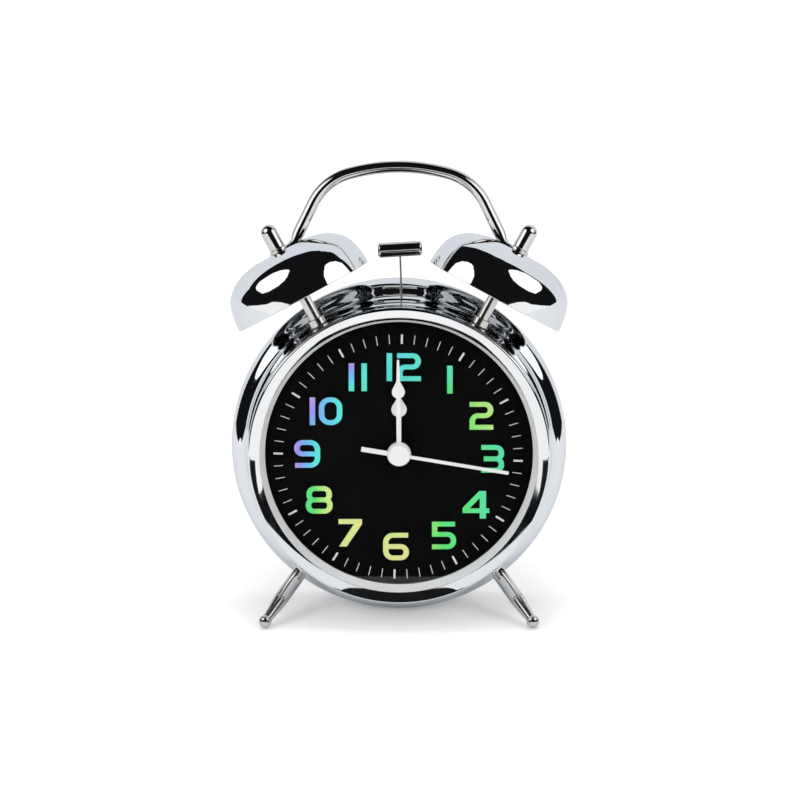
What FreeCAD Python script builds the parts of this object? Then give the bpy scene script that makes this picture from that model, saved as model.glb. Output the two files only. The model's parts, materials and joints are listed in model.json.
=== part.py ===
import FreeCAD, Part
import math
import os
import re
import Sketcher
from FreeCAD import Placement, Rotation, Vector

# Twin bell alarm clock.
# Everything is drawn in the upright case frame: X to the right, Y is depth into the clock
# from the bezel's outer edge, Z is height from the dial's axis. The finished clock leans back
# until its two feet and the case's rear edge stand on one floor, where Z is 0.

SIZES = {
    # Chrome bezel that holds the lens and plugs into the front of the case.
    "bezel_width": 4.4,
    "bezel_face_inset": 1.3,
    "bezel_face_fall": 0.15,
    "bezel_front": -4.4,
    "bezel_lip_back": -3.7,
    "bezel_round_length": 1.35,
    "bezel_curve_radius": 1.4,
    "bezel_edge_step": 0.1,
    "bezel_skirt_end": 1.5,
    "bezel_sleeve_end": 3.0,
    "bezel_sleeve_wall": 0.9,
    "lens_overlap": 0.5,
    "lens_thickness": 1.0,
    "lens_clearance": 0.1,
    # Bright cone between lens and dial, and the black ring that spaces the dial.
    "cone_inset": 0.3,
    "cone_run": 1.9,
    "cone_back": 1.5,
    "cone_wall": 0.6,
    "spacer_step": 0.2,
    "spacer_rim_wall": 1.05,
    # Dial plate with its four screw bosses.
    "dial_inset": 4.4,
    "dial_front": 4.0,
    "dial_thickness": 0.8,
    "boss_place": 32.5,
    "boss_radius": 3.0,
    "boss_end": 12.0,
    # Case: a drawn steel shell with a narrow land, a flared shoulder and a long back.
    "case_front_radius": 53.4,
    "case_front": 1.6,
    "case_wall": 0.8,
    "land_length": 7.05,
    "land_slope": 6.5,
    "shoulder_hollow": 4.5,
    "shoulder_slope": 60.0,
    "shoulder_round": 6.6,
    "back_length": 14.98,
    "back_slope": 18.66,
    "rear_edge_round": 1.2,
    "rear_lip": 1.12,
    "slot_width": 15.0,
    "slot_height": 1.6,
    "slot_depth": 8.2,
    # Bell posts, bells and their cap nuts, measured along each leaning post axis.
    "post_angle": 31.8,
    "post_base_depth": 6.5,
    "post_tilt": 28.5,
    "post_lean": 8.0,
    "post_radius": 2.15,
    "post_foot": -1.2,
    "post_nut_gap": 0.9,
    "foot_nut_gap": 1.65,
    "stud_radius": 1.5,
    "stud_end": 3.4,
    "stud_hole_gap": 0.2,
    "collar_radius": 3.1,
    "collar_length": 1.9,
    "nut_width": 4.0,
    "nut_length": 1.6,
    "nut_gap": 0.3,
    "fit_gap": 0.05,
    "bell_base": 10.6,
    "bell_radius": 25.85,
    "bell_side_radius": 24.05,
    "bell_side_height": 9.8,
    "bell_shoulder_radius": 18.7,
    "bell_shoulder_height": 15.0,
    "bell_top_radius": 12.3,
    "bell_height": 18.0,
    "bell_wall": 1.0,
    "bell_side_curve": 30.0,
    "bell_shoulder_curve": 9.0,
    "bell_crown_curve": 20.0,
    "bell_hole_radius": 1.6,
    "washer_radius": 3.4,
    "washer_thickness": 0.8,
    "cap_radius": 2.9,
    "cap_length": 9.3,
    "cap_bore_depth": 5.4,
    # Carrying handle.
    "handle_radius": 2.2,
    "handle_plate_radius": 3.5,
    "handle_plate_thickness": 1.2,
    "handle_neck_in": 7.1,
    "handle_neck_up": 6.2,
    "handle_neck_start": 3.2,
    "handle_neck_half_width": 2.7,
    "handle_arm_tilt": 26.0,
    "handle_rise": 29.4,
    "handle_corner_radius": 14.0,
    "handle_top_radius": 80.0,
    # Feet.
    "foot_angle": 37.4,
    "foot_root_depth": 15.5,
    "foot_reach_side": 11.6,
    "foot_reach_front": 14.7,
    "foot_reach_down": 13.7,
    "foot_radius": 2.6,
    "foot_neck_radius": 1.7,
    "foot_ball_radius": 2.25,
    "foot_taper_length": 10.7,
    "foot_stud_end": 4.6,
    "seat_gap": 0.12,
    # Movement: front plate, middle plate and housing, and the axes of its wheels.
    "movement_half": 28.0,
    "movement_front": 5.2,
    "front_plate_thickness": 1.2,
    "collar_bore": 2.65,
    "collar_outer": 4.0,
    "collar_front": 3.4,
    "middle_plate_front": 10.0,
    "middle_plate_thickness": 0.8,
    "movement_back": 19.5,
    "housing_wall": 1.2,
    "housing_back_wall": 0.8,
    "corner_screw_place": 24.8,
    "corner_post_radius": 2.4,
    "small_screw_radius": 0.9,
    "small_head_radius": 1.9,
    "small_head_height": 1.2,
    "wheel_thickness": 0.8,
    "arbor_radius": 0.5,
    "pivot_radius": 0.35,
    "pivot_length": 0.5,
    "motion_angle": 200.0,
    "alarm_angle": -20.0,
    "third_angle": -60.0,
    "intermediate_angle": 90.0,
    "rotor_angle": 150.0,
    "motion_module": 0.33,
    "cannon_teeth": 12,
    "minute_teeth": 36,
    "minute_pinion_teeth": 10,
    "hour_teeth": 40,
    "setting_teeth": 12,
    "alarm_module": 0.42,
    "alarm_teeth": 48,
    "alarm_pinion_teeth": 12,
    "second_pinion_teeth": 8,
    "third_module": 0.22,
    "third_teeth": 60,
    "third_pinion_teeth": 8,
    "centre_teeth": 64,
    "intermediate_module": 0.27,
    "intermediate_pinion_teeth": 8,
    "second_teeth": 48,
    "rotor_module": 0.25,
    "rotor_pinion_teeth": 8,
    "intermediate_teeth": 40,
    "alarm_wheel_front": 6.7,
    "hour_wheel_front": 7.8,
    "minute_wheel_front": 8.9,
    "centre_wheel_front": 11.1,
    "third_wheel_front": 12.7,
    "second_wheel_front": 13.8,
    "intermediate_wheel_front": 15.0,
    "magnet_front": 16.1,
    "magnet_length": 1.9,
    "magnet_radius": 2.0,
    "second_arbor_radius": 0.5,
    "stator_left": 24.0,
    "stator_low": 7.0,
    "stator_high": 20.5,
    "stator_thickness": 0.8,
    "stator_rim": 1.4,
    "stator_air_gap": 0.4,
    "stator_set_back": 0.6,
    "window_left": 20.5,
    "window_low": 14.6,
    "window_high": 17.5,
    "coil_left": 19.0,
    "coil_right": 6.5,
    "coil_front": 15.7,
    "coil_low": 15.0,
    "coil_high": 22.8,
    "coil_core_low": 17.3,
    "coil_core_high": 20.7,
    "board_left": 6.0,
    "board_right": 26.6,
    "board_low": 8.0,
    "board_high": 22.0,
    "board_front": 15.2,
    "board_thickness": 1.2,
    "chip_left": 12.0,
    "chip_low": 12.0,
    "chip_size": 6.0,
    "chip_height": 1.4,
    "cannon_bore": 0.55,
    "cannon_outer": 1.15,
    "hour_bore": 1.2,
    "hour_outer": 1.85,
    "alarm_bore": 1.9,
    "alarm_outer": 2.6,
    # Hands, each as it points up before it is turned to its rest angle.
    "hand_thickness": 0.3,
    "second_hand_front": -1.2,
    "minute_hand_front": 0.4,
    "hour_hand_front": 1.6,
    "alarm_hand_front": 2.8,
    "hub_cap_radius": 3.75,
    "hub_cap_front": -2.0,
    "minute_boss_radius": 4.25,
    "second_hand_length": 39.2,
    "second_hand_width": 1.2,
    "second_tail_length": 13.5,
    "second_tail_width": 1.7,
    "minute_hand_length": 33.9,
    "minute_bulb_height": 22.4,
    "minute_bulb_radius": 2.3,
    "minute_bulb_slope": 27.0,
    "hour_hand_length": 25.5,
    "hour_bulb_height": 15.9,
    "hour_bulb_radius": 2.7,
    "hour_bulb_slope": 32.0,
    "hand_shaft_width": 1.6,
    "hand_neck_width": 1.3,
    "hand_tip_width": 0.8,
    "alarm_hand_length": 18.0,
    "minute_rest_angle": -0.6,
    "second_rest_angle": 99.5,
    # Striker: hammer, lever, crank and motor on a bracket above the movement.
    "hammer_side": 0.9,
    "hammer_head_side": 0.35,
    "hammer_head_rise": 4.35,
    "hammer_head_depth": 10.0,
    "strike_room": 2.92,
    "hammer_head_radius": 2.65,
    "hammer_head_chamfer": 0.7,
    "hammer_head_tilt": 3.3,
    "wire_radius": 0.35,
    "wire_bend_rise": 0.8,
    "pivot_inset": 7.6,
    "crank_drop": 10.0,
    "crank_throw": 1.4,
    "crank_pin_radius": 0.8,
    "fork_clearance": 0.4,
    "lever_width": 5.6,
    "lever_hub_radius": 2.6,
    "lever_thickness": 1.2,
    "lever_front": 7.6,
    "lever_end_margin": 1.0,
    "socket_half_width": 1.3,
    "socket_length": 1.0,
    "wire_insert": 1.4,
    "hammer_pin_radius": 0.6,
    "bracket_front": 12.0,
    "bracket_thickness": 1.2,
    "bracket_left": -8.0,
    "bracket_right": 17.0,
    "bracket_margin": 3.7,
    "crank_module": 0.3,
    "crank_teeth": 40,
    "motor_teeth": 10,
    "crank_gear_front": 10.2,
    "stub_radius": 0.75,
    "motor_radius": 5.9,
    "motor_length": 13.5,
    "motor_shaft_radius": 0.5,
    # Back cover, battery and controls.
    "cover_gap": 0.2,
    "cover_recess": 1.8,
    "cover_thickness": 1.5,
    "pillar_bore": 1.4,
    "screw_radius": 1.25,
    "screw_head_radius": 2.6,
    "screw_head_height": 1.5,
    "screw_slot_width": 0.7,
    "screw_slot_depth": 0.5,
    "screw_slot_length": 4.0,
    "cell_radius": 7.25,
    "cell_length": 48.7,
    "cell_nub_radius": 2.75,
    "cell_nub_length": 1.8,
    "cell_height": -38.0,
    "cell_room": 0.75,
    "tray_clearance": 0.35,
    "tray_wall": 0.9,
    "contact_thickness": 0.5,
    "contact_half": 5.0,
    "leaf_room": 2.7,
    "leaf_thickness": 0.3,
    "leaf_half_height": 6.0,
    "leaf_half_width": 4.0,
    "leaf_top_share": 0.84,
    "leaf_touch_share": 0.1,
    "leaf_toe_share": 0.76,
    "door_gap": 0.2,
    "door_thickness": 1.2,
    "rib_count": 4,
    "rib_pitch": 2.4,
    "rib_width": 1.0,
    "rib_height": 0.6,
    "rib_half_length": 6.0,
    "knob_radius": 5.5,
    "knob_length": 6.0,
    "knob_gap": 0.5,
    "flute_radius": 0.7,
    "flute_count": 12,
    "flute_depth": 0.45,
    "flute_start": 0.8,
    "knob_arbor_radius": 0.8,
    "switch_side": -22.0,
    "switch_height": 17.0,
    "switch_travel": 4.0,
    "switch_stem_width": 2.8,
    "switch_stem_height": 4.6,
    "switch_reach": 1.9,
    "switch_flange_half_width": 3.0,
    "switch_flange_half_height": 4.5,
    "switch_thumb_half_width": 2.4,
    "switch_thumb_half_height": 3.0,
    "switch_thumb_thickness": 1.0,
    "running_gap": 0.05,
}

doc = FreeCAD.newDocument("TwinBellAlarmClock")
sheet = doc.addObject("Spreadsheet::Sheet", "Sizes")
for row, (name, number) in enumerate(SIZES.items(), start=1):
    sheet.set("A%d" % row, name)
    sheet.set("B%d" % row, str(number))
    sheet.setAlias("B%d" % row, name)
doc.recompute()

pieces = {}


# Formulas: sizes by name, as the sheet reads them and as a number.

def expr(text):
    def named(match):
        word = match.group()
        return "Sizes." + word if word in SIZES else word

    return re.sub(r"[a-z_]+", named, str(text))


def num(text):
    answer = sheet.evalExpression(expr(text))
    return float(getattr(answer, "Value", answer))


def bind(target, where, text):
    target.setExpression(where, expr(text))


# Sketches. A corner is (across, up) or (across, up, radius): with a radius, the edge that
# arrives there is an arc, which turns left as it is drawn, or right if the radius is negative.

def open_sketch(body, role, offset=None):
    sketch = body.newObject("Sketcher::SketchObject", body.Name + "Sketch")
    plane = next(f for f in body.Origin.OriginFeatures if f.Role == role)
    sketch.AttachmentSupport = [(plane, "")]
    sketch.MapMode = "FlatFace"
    if offset is not None:
        bind(sketch, "AttachmentOffset.Base.z", offset)
    return sketch


def hold(sketch, kind, *where):
    text = where[-1]
    index = sketch.addConstraint(Sketcher.Constraint(kind, *where[:-1], num(text)))
    bind(sketch, "Constraints[%d]" % index, text)


def add_outline(sketch, corners):
    first = sketch.GeometryCount
    ends = []
    for here, there in zip(corners, corners[1:] + corners[:1]):
        start = Vector(num(here[0]), num(here[1]), 0)
        stop = Vector(num(there[0]), num(there[1]), 0)
        if len(there) == 2:
            sketch.addGeometry(Part.LineSegment(start, stop))
            ends.append((1, 2))
            continue
        radius = num(there[2])
        chord = stop - start
        reach = math.sqrt(radius ** 2 - (chord.Length / 2) ** 2)
        side = Vector(-chord.y, chord.x, 0).normalize() * math.copysign(reach, radius)
        centre = (start + stop) / 2 + side
        low, high = (start, stop) if radius > 0 else (stop, start)
        angles = [math.atan2(p.y - centre.y, p.x - centre.x) for p in (low, high)]
        circle = Part.Circle(centre, Vector(0, 0, 1), abs(radius))
        sketch.addGeometry(Part.ArcOfCircle(circle, *angles))
        ends.append((1, 2) if radius > 0 else (2, 1))
    count = len(corners)
    for i in range(count):
        after = (i + 1) % count
        joined = (first + i, ends[i][1], first + after, ends[after][0])
        sketch.addConstraint(Sketcher.Constraint("Coincident", *joined))
        hold(sketch, "DistanceX", first + i, ends[i][0], corners[i][0])
        hold(sketch, "DistanceY", first + i, ends[i][0], corners[i][1])
        arc = corners[after]
        if len(arc) == 3:
            sign = "" if num(arc[2]) > 0 else "-"
            hold(sketch, "Radius", first + i, sign + "(" + arc[2] + ")")


def add_circle(sketch, across, up, radius):
    index = sketch.GeometryCount
    centre = Vector(num(across), num(up), 0)
    sketch.addGeometry(Part.Circle(centre, Vector(0, 0, 1), num(radius)))
    hold(sketch, "DistanceX", index, 3, across)
    hold(sketch, "DistanceY", index, 3, up)
    hold(sketch, "Radius", index, radius)


# Turned pieces: about the dial's axis (Y), or about an axis of their own (Z).

def turned(name, corners, axis="Y"):
    body = doc.addObject("PartDesign::Body", name)
    sketch = open_sketch(body, "XY_Plane" if axis == "Y" else "XZ_Plane")
    add_outline(sketch, corners)
    solid = body.newObject("PartDesign::Revolution", name + "Turn")
    solid.Profile = sketch
    solid.ReferenceAxis = (sketch, ["V_Axis"])
    solid.Angle = 360
    return body


# Flat pieces: an outline parallel to the dial, thickened away from the viewer.

def plate(name, front, thickness, outline=None, circles=()):
    body = doc.addObject("PartDesign::Body", name)
    sketch = open_sketch(body, "XZ_Plane", "-(%s)" % front)
    if outline:
        add_outline(sketch, outline)
    for circle in circles:
        add_circle(sketch, *circle)
    solid = body.newObject("PartDesign::Pad", name + "Pad")
    solid.Profile = sketch
    bind(solid, "Length", thickness)
    solid.Reversed = True
    return body


def block(name, low, high):
    box = doc.addObject("Part::Box", name)
    for side, axis, first, last in zip(("Length", "Width", "Height"), "xyz", low, high):
        bind(box, side, "(%s) - (%s)" % (last, first))
        bind(box, "Placement.Base." + axis, first)
    return box


def rod(name, radius, front, back, across="0", up="0"):
    cylinder = doc.addObject("Part::Cylinder", name)
    cylinder.Placement = Placement(Vector(), Rotation(Vector(1, 0, 0), -90))
    bind(cylinder, "Radius", radius)
    bind(cylinder, "Height", "(%s) - (%s)" % (back, front))
    for axis, text in zip("xyz", (across, front, up)):
        bind(cylinder, "Placement.Base." + axis, text)
    return cylinder


def side_rod(name, radius, left, right, depth, up):
    cylinder = doc.addObject("Part::Cylinder", name)
    cylinder.Placement = Placement(Vector(), Rotation(Vector(0, 1, 0), 90))
    bind(cylinder, "Radius", radius)
    bind(cylinder, "Height", "(%s) - (%s)" % (right, left))
    for axis, text in zip("xyz", (left, depth, up)):
        bind(cylinder, "Placement.Base." + axis, text)
    return cylinder


# A rod or hexagon along an axis of its own, from start to stop on that axis.

def axis_rod(name, radius, start, stop, place):
    cylinder = doc.addObject("Part::Cylinder", name)
    bind(cylinder, "Radius", radius)
    bind(cylinder, "Height", "(%s) - (%s)" % (stop, start))
    cylinder.Placement = place * Placement(Vector(0, 0, num(start)), Rotation())
    return cylinder


def axis_nut(name, width, start, stop, bore, place):
    hexagon = doc.addObject("Part::Prism", name + "Hexagon")
    hexagon.Polygon = 6
    bind(hexagon, "Circumradius", "(%s) / 2 / cos(30)" % width)
    bind(hexagon, "Height", "(%s) - (%s)" % (stop, start))
    hexagon.Placement = place * Placement(Vector(0, 0, num(start)), Rotation())
    hole = axis_rod(name + "Bore", bore, "(%s) - 1" % start, "(%s) + 1" % stop, place)
    return cut(name, hexagon, hole)


def fuse(name, *parts):
    result = doc.addObject("Part::MultiFuse", name)
    result.Shapes = list(parts)
    result.Refine = True
    return result


def cut(name, base, *tools):
    result = doc.addObject("Part::Cut", name)
    result.Base = base
    result.Tool = tools[0] if len(tools) == 1 else fuse(name + "Tools", *tools)
    return result


def group(name, *parts):
    result = doc.addObject("Part::Compound", name)
    result.Links = list(parts)
    return result


# A finished piece: its label names its file; place is where it stands in the case frame.

def piece(label, thing, place=None):
    thing.Label = label
    pieces[label] = (thing, place or Placement())
    return thing


def corners_of(low_across, low_up, high_across, high_up):
    return [(low_across, low_up), (high_across, low_up), (high_across, high_up), (low_across, high_up)]


# Gears. Straight-flanked teeth with room at root and tip; the outline is worked out from the
# tooth count and the module, so it is drawn here and not in a sketch.

TOOTH_SHARE = 0.44
TIP_SHARE = 0.5
ROOT_SHARE = 1.3
ADDENDUM = 0.95
DEDENDUM = 1.2


def toothed_disc(teeth, module, thickness, phase):
    pitch_radius = teeth * module / 2
    half = TOOTH_SHARE * math.pi / teeth
    root = (pitch_radius - DEDENDUM * module, half * ROOT_SHARE)
    tip = (pitch_radius + ADDENDUM * module, half * TIP_SHARE)
    corners = []
    for tooth in range(teeth):
        middle = math.radians(phase) + 2 * math.pi * tooth / teeth
        for (radius, spread), side in ((root, -1), (tip, -1), (tip, 1), (root, 1)):
            angle = middle + side * spread
            corners.append(Vector(radius * math.cos(angle), 0, radius * math.sin(angle)))
    rim = Part.makePolygon(corners + corners[:1])
    return Part.Face(rim).extrude(Vector(0, thickness, 0))


def along_depth(radius, front, back):
    return Part.makeCylinder(radius, back - front, Vector(0, front, 0), Vector(0, 1, 0))


# A wheel on its arbor or tube: toothed discs, round lengths and bores on one axis.

def arbor_piece(label, axis, discs, rounds, bores=()):
    shape = None
    for teeth, module, front, thickness, phase in discs:
        disc = toothed_disc(int(num(teeth)), module, thickness, phase)
        disc.translate(Vector(0, front, 0))
        shape = disc if shape is None else shape.fuse(disc)
    for radius, front, back in rounds:
        shape = shape.fuse(along_depth(radius, front, back))
    for radius, front, back in bores:
        shape = shape.cut(along_depth(radius, front, back))
    shape = shape.removeSplitter()
    thing = doc.addObject("Part::Feature", label)
    thing.Shape = shape
    return piece(label, thing, Placement(Vector(axis[0], 0, axis[1]), Rotation()))


def polar(centre, distance, angle):
    turn = math.radians(angle)
    return (centre[0] + distance * math.cos(turn), centre[1] + distance * math.sin(turn))


def spacing(first, second, module):
    return num("(%s + %s) / 2" % (first, second)) * module


def facing_gap(direction, teeth):
    return direction + 180 + 180 / num(teeth)


# Bezel and glass

lip_radius = "(case_front_radius - bezel_width)"
sleeve_radius = "(case_front_radius - case_wall - lens_clearance)"
bezel_edge = "(case_front_radius - bezel_edge_step)"
bezel_face_end = "(bezel_front + bezel_face_fall)"
lens_radius = "(%s + lens_overlap)" % lip_radius
piece("bezel", turned("Bezel", [
    (lip_radius, "bezel_lip_back"),
    (lip_radius, "bezel_front + 0.3"),
    (lip_radius + " + 0.3", "bezel_front", "-0.3"),
    ("case_front_radius - bezel_face_inset", bezel_face_end),
    (bezel_edge, bezel_face_end + " + bezel_round_length", "bezel_curve_radius"),
    ("case_front_radius", "bezel_skirt_end"),
    (sleeve_radius, "bezel_skirt_end"),
    (sleeve_radius, "bezel_sleeve_end"),
    (sleeve_radius + " - bezel_sleeve_wall", "bezel_sleeve_end"),
    (sleeve_radius + " - bezel_sleeve_wall", "0"),
    (lens_radius + " + lens_clearance", "bezel_lip_back + lens_thickness + 2 * lens_clearance"),
    (lens_radius + " + lens_clearance", "bezel_lip_back"),
]))

lens_front = "bezel_lip_back + lens_clearance"
piece("lens", plate("Lens", lens_front, "lens_thickness", circles=[("0", "0", lens_radius)]))

cone_front = lens_front + " + lens_thickness + 0.05"
cone_front_radius = "(%s - cone_inset)" % lens_radius
cone_back_radius = "(%s - cone_run)" % cone_front_radius
flange_radius = sleeve_radius + " - bezel_sleeve_wall - 0.2"
piece("reflector_ring", turned("ReflectorRing", [
    (cone_front_radius, cone_front),
    (cone_front_radius + " + cone_wall - 0.25", cone_front),
    (cone_back_radius + " + cone_wall + 0.3", "cone_back - cone_wall"),
    (flange_radius, "cone_back - cone_wall"),
    (flange_radius, "cone_back"),
    (cone_back_radius, "cone_back"),
]))

spacer_front = "cone_back + 0.1"
spacer_radius = "(%s + spacer_step)" % cone_back_radius
dial_radius = "(case_front_radius - dial_inset)"
rim_inner = "(%s + 0.15)" % dial_radius
rim_outer = "(%s + spacer_rim_wall)" % rim_inner
dial_back = "dial_front + dial_thickness"
piece("spacer_ring", turned("SpacerRing", [
    (spacer_radius, spacer_front),
    (flange_radius, spacer_front),
    (flange_radius, "bezel_sleeve_end - 0.1"),
    (rim_outer, "bezel_sleeve_end - 0.1"),
    (rim_outer, dial_back + " + 0.1"),
    (rim_inner, dial_back + " + 0.1"),
    (rim_inner, "dial_front - 0.05"),
    (spacer_radius, "dial_front - 0.05"),
]))

# Dial

dial_disc = plate("DialDisc", "dial_front", "dial_thickness", circles=[
    ("0", "0", dial_radius),
    ("0", "0", "collar_outer + running_gap"),
])
bosses = []
boss_bores = []
for across in ("boss_place", "-boss_place"):
    for up in ("boss_place", "-boss_place"):
        tag = "%d" % len(bosses)
        bosses.append(rod("DialBoss" + tag, "boss_radius", dial_back + " - 0.4", "boss_end", across, up))
        boss_bores.append(rod("DialBore" + tag, "screw_radius + fit_gap", dial_back + " + 0.2",
                              "boss_end + 1", across, up))
piece("dial", cut("Dial", fuse("DialPlate", dial_disc, *bosses), *boss_bores))

# Case shell. Its outline runs along the land, up the hollow and the round of the shoulder to
# the crown, and down the back to the rolled rear edge. Grown outwards it also trims the feet.

land_end_r = "(case_front_radius + land_length * sin(land_slope))"
land_end_d = "(case_front + land_length * cos(land_slope))"
turn_r = "(%s + shoulder_hollow * (cos(land_slope) - cos(shoulder_slope)))" % land_end_r
turn_d = "(%s + shoulder_hollow * (sin(shoulder_slope) - sin(land_slope)))" % land_end_d
crown_r = "(%s + shoulder_round * (1 - cos(shoulder_slope)))" % turn_r
crown_d = "(%s + shoulder_round * sin(shoulder_slope))" % turn_d
rear_r = "(%s - back_length * tan(back_slope / 2))" % crown_r
rear_d = "(%s + back_length)" % crown_d
edge_r = "(%s - rear_edge_round * cos(back_slope))" % rear_r
edge_d = "(%s - rear_edge_round * sin(back_slope))" % rear_d
back_curve = "(back_length / sin(back_slope))"
case_end = "(%s + rear_edge_round)" % edge_d
rear_opening = "(%s - rear_lip)" % edge_r


def case_side(grow):
    return [
        ("case_front_radius + (%s)" % grow, "case_front"),
        (land_end_r + " + (%s) * cos(land_slope)" % grow, land_end_d + " - (%s) * sin(land_slope)" % grow),
        (turn_r + " + (%s) * cos(shoulder_slope)" % grow,
         turn_d + " - (%s) * sin(shoulder_slope)" % grow,
         "-(shoulder_hollow - (%s))" % grow),
        (crown_r + " + (%s)" % grow, crown_d, "shoulder_round + (%s)" % grow),
        (rear_r + " + (%s) * cos(back_slope)" % grow,
         rear_d + " + (%s) * sin(back_slope)" % grow,
         back_curve + " + (%s)" % grow),
        (edge_r, edge_d + " + rear_edge_round + (%s)" % grow, "rear_edge_round + (%s)" % grow),
    ]


def backwards(path):
    result = []
    for i in reversed(range(len(path))):
        corner = path[i][:2]
        if i + 1 < len(path) and len(path[i + 1]) == 3:
            corner += ("-(" + path[i + 1][2] + ")",)
        result.append(corner)
    return result


case_turned = turned("CaseTurned", case_side("0") + [
    (rear_opening, case_end),
    (rear_opening, case_end + " - case_wall"),
] + backwards(case_side("-case_wall")))
envelope = turned("CaseEnvelope", case_side("seat_gap") + [
    ("0", case_end + " + seat_gap"),
    ("0", "case_front"),
])

# Axes of the bell posts and feet, each with its origin where it leaves the case.


def axis_place(base, direction):
    return Placement(base, Rotation(Vector(0, 0, 1), direction))


def post_place(side):
    depth = num("post_base_depth")
    radius = num("case_front_radius + (post_base_depth - case_front) * tan(land_slope)")
    angle = math.radians(num("post_angle"))
    base = Vector(side * radius * math.sin(angle), depth, radius * math.cos(angle))
    tilt = math.radians(num("post_tilt"))
    lean = math.radians(num("post_lean"))
    upright = math.cos(tilt)
    direction = Vector(side * math.sin(tilt), upright * math.sin(lean), upright * math.cos(lean))
    return axis_place(base, direction)


foot_reach = Vector(num("foot_reach_side"), -num("foot_reach_front"), -num("foot_reach_down"))


def foot_place(side):
    depth = num("foot_root_depth")
    slope = math.asin((num(crown_d) - depth) / num("shoulder_round"))
    radius = num(crown_r) - num("shoulder_round") * (1 - math.cos(slope))
    angle = math.radians(num("foot_angle"))
    base = Vector(side * radius * math.sin(angle), depth, -radius * math.cos(angle))
    return axis_place(base, Vector(side * foot_reach.x, foot_reach.y, foot_reach.z))


SIDES = (("left", -1), ("right", 1))

stud_hole = "stud_radius + stud_hole_gap"
slot_low = ("-slot_width / 2", "slot_depth - slot_height / 2", "case_front_radius / 2")
slot_high = ("slot_width / 2", "slot_depth + slot_height / 2", "case_front_radius + bell_base")
case_holes = [block("HammerSlot", slot_low, slot_high)]
for word, side in SIDES:
    case_holes.append(axis_rod("PostHole" + word, stud_hole, "-4", "4", post_place(side)))
    case_holes.append(axis_rod("FootHole" + word, stud_hole, "-4", "4", foot_place(side)))
piece("case_shell", cut("CaseShell", case_turned, *case_holes))

# Bells with their posts, collars, washers, nuts and caps.

bell_inside = "(bell_base + bell_height - bell_wall)"
shoulder = "(%s - washer_thickness - 2 * fit_gap)" % bell_inside
plate_start = "(bell_base + bell_height + fit_gap)"
cap_start = "(%s + handle_plate_thickness + fit_gap)" % plate_start
bell_profile = [
    ("bell_radius", "0"),
    ("bell_side_radius", "bell_side_height", "bell_side_curve"),
    ("bell_shoulder_radius", "bell_shoulder_height", "bell_shoulder_curve"),
    ("bell_top_radius", "bell_height", "bell_crown_curve"),
    ("bell_hole_radius", "bell_height"),
    ("bell_hole_radius", "bell_height - bell_wall"),
    ("bell_top_radius - bell_wall * 0.2", "bell_height - bell_wall"),
    ("bell_shoulder_radius - bell_wall * 0.6", "bell_shoulder_height - bell_wall * 0.8",
     "-(bell_crown_curve - bell_wall)"),
    ("bell_side_radius - bell_wall * 0.93", "bell_side_height - bell_wall * 0.35",
     "-(bell_shoulder_curve - bell_wall)"),
    ("bell_radius - bell_wall", "0", "-(bell_side_curve - bell_wall)"),
]
collars = []
washers = []
post_nuts = []
caps = []
for word, side in SIDES:
    place = post_place(side)
    bell_place = place * Placement(Vector(0, 0, num("bell_base")), Rotation())
    piece("bell_" + word, turned("Bell" + word, bell_profile, "Z"), bell_place)
    post = turned("PostTurned" + word, [
        ("0", "post_foot"),
        ("post_radius", "post_foot"),
        ("post_radius", shoulder),
        ("stud_radius", shoulder),
        ("stud_radius", cap_start + " + cap_bore_depth - nut_gap"),
        ("0", cap_start + " + cap_bore_depth - nut_gap"),
    ], "Z")
    post.Placement = place
    post_stud = axis_rod("PostStud" + word, "stud_radius", "-stud_end", "post_radius", place)
    piece("post_" + word, fuse("Post" + word, cut("PostTrimmed" + word, post, envelope), post_stud))
    collar = axis_rod("CollarBlank" + word, "collar_radius", "post_foot", "collar_length", place)
    collar_bore = axis_rod("CollarBore" + word, "post_radius + fit_gap", "post_foot - 1",
                           "collar_length + 1", place)
    collars.append(cut("Collar" + word, collar, collar_bore, envelope))
    washer = axis_rod("WasherBlank" + word, "washer_radius", shoulder + " + fit_gap",
                      bell_inside + " - fit_gap", place)
    washer_bore = axis_rod("WasherBore" + word, "stud_radius + fit_gap", shoulder + " - 1",
                           bell_inside + " + 1", place)
    washers.append(cut("Washer" + word, washer, washer_bore))
    nut_top = "(-case_wall - post_nut_gap)"
    post_nuts.append(axis_nut("PostNut" + word, "nut_width", nut_top + " - nut_length", nut_top,
                              "stud_radius + fit_gap", place))
    cap = turned("Cap" + word, [
        ("stud_radius + fit_gap", "0"),
        ("cap_radius", "0"),
        ("cap_radius", "cap_length - cap_radius"),
        ("0", "cap_length", "cap_radius"),
        ("0", "cap_bore_depth"),
        ("stud_radius + fit_gap", "cap_bore_depth"),
    ], "Z")
    cap.Placement = place * Placement(Vector(0, 0, num(cap_start)), Rotation())
    caps.append(cap)
piece("post_collars", group("PostCollars", *collars))
piece("bell_washers", group("BellWashers", *washers))
piece("post_nuts", group("PostNuts", *post_nuts))
piece("cap_nuts", group("CapNuts", *caps))

# Handle: a bent rod whose ends are forged flat and clamped between the bells and their caps.
# Its path is one plane through both post tops; the arms and the top are joined by tangent arcs.


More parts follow.
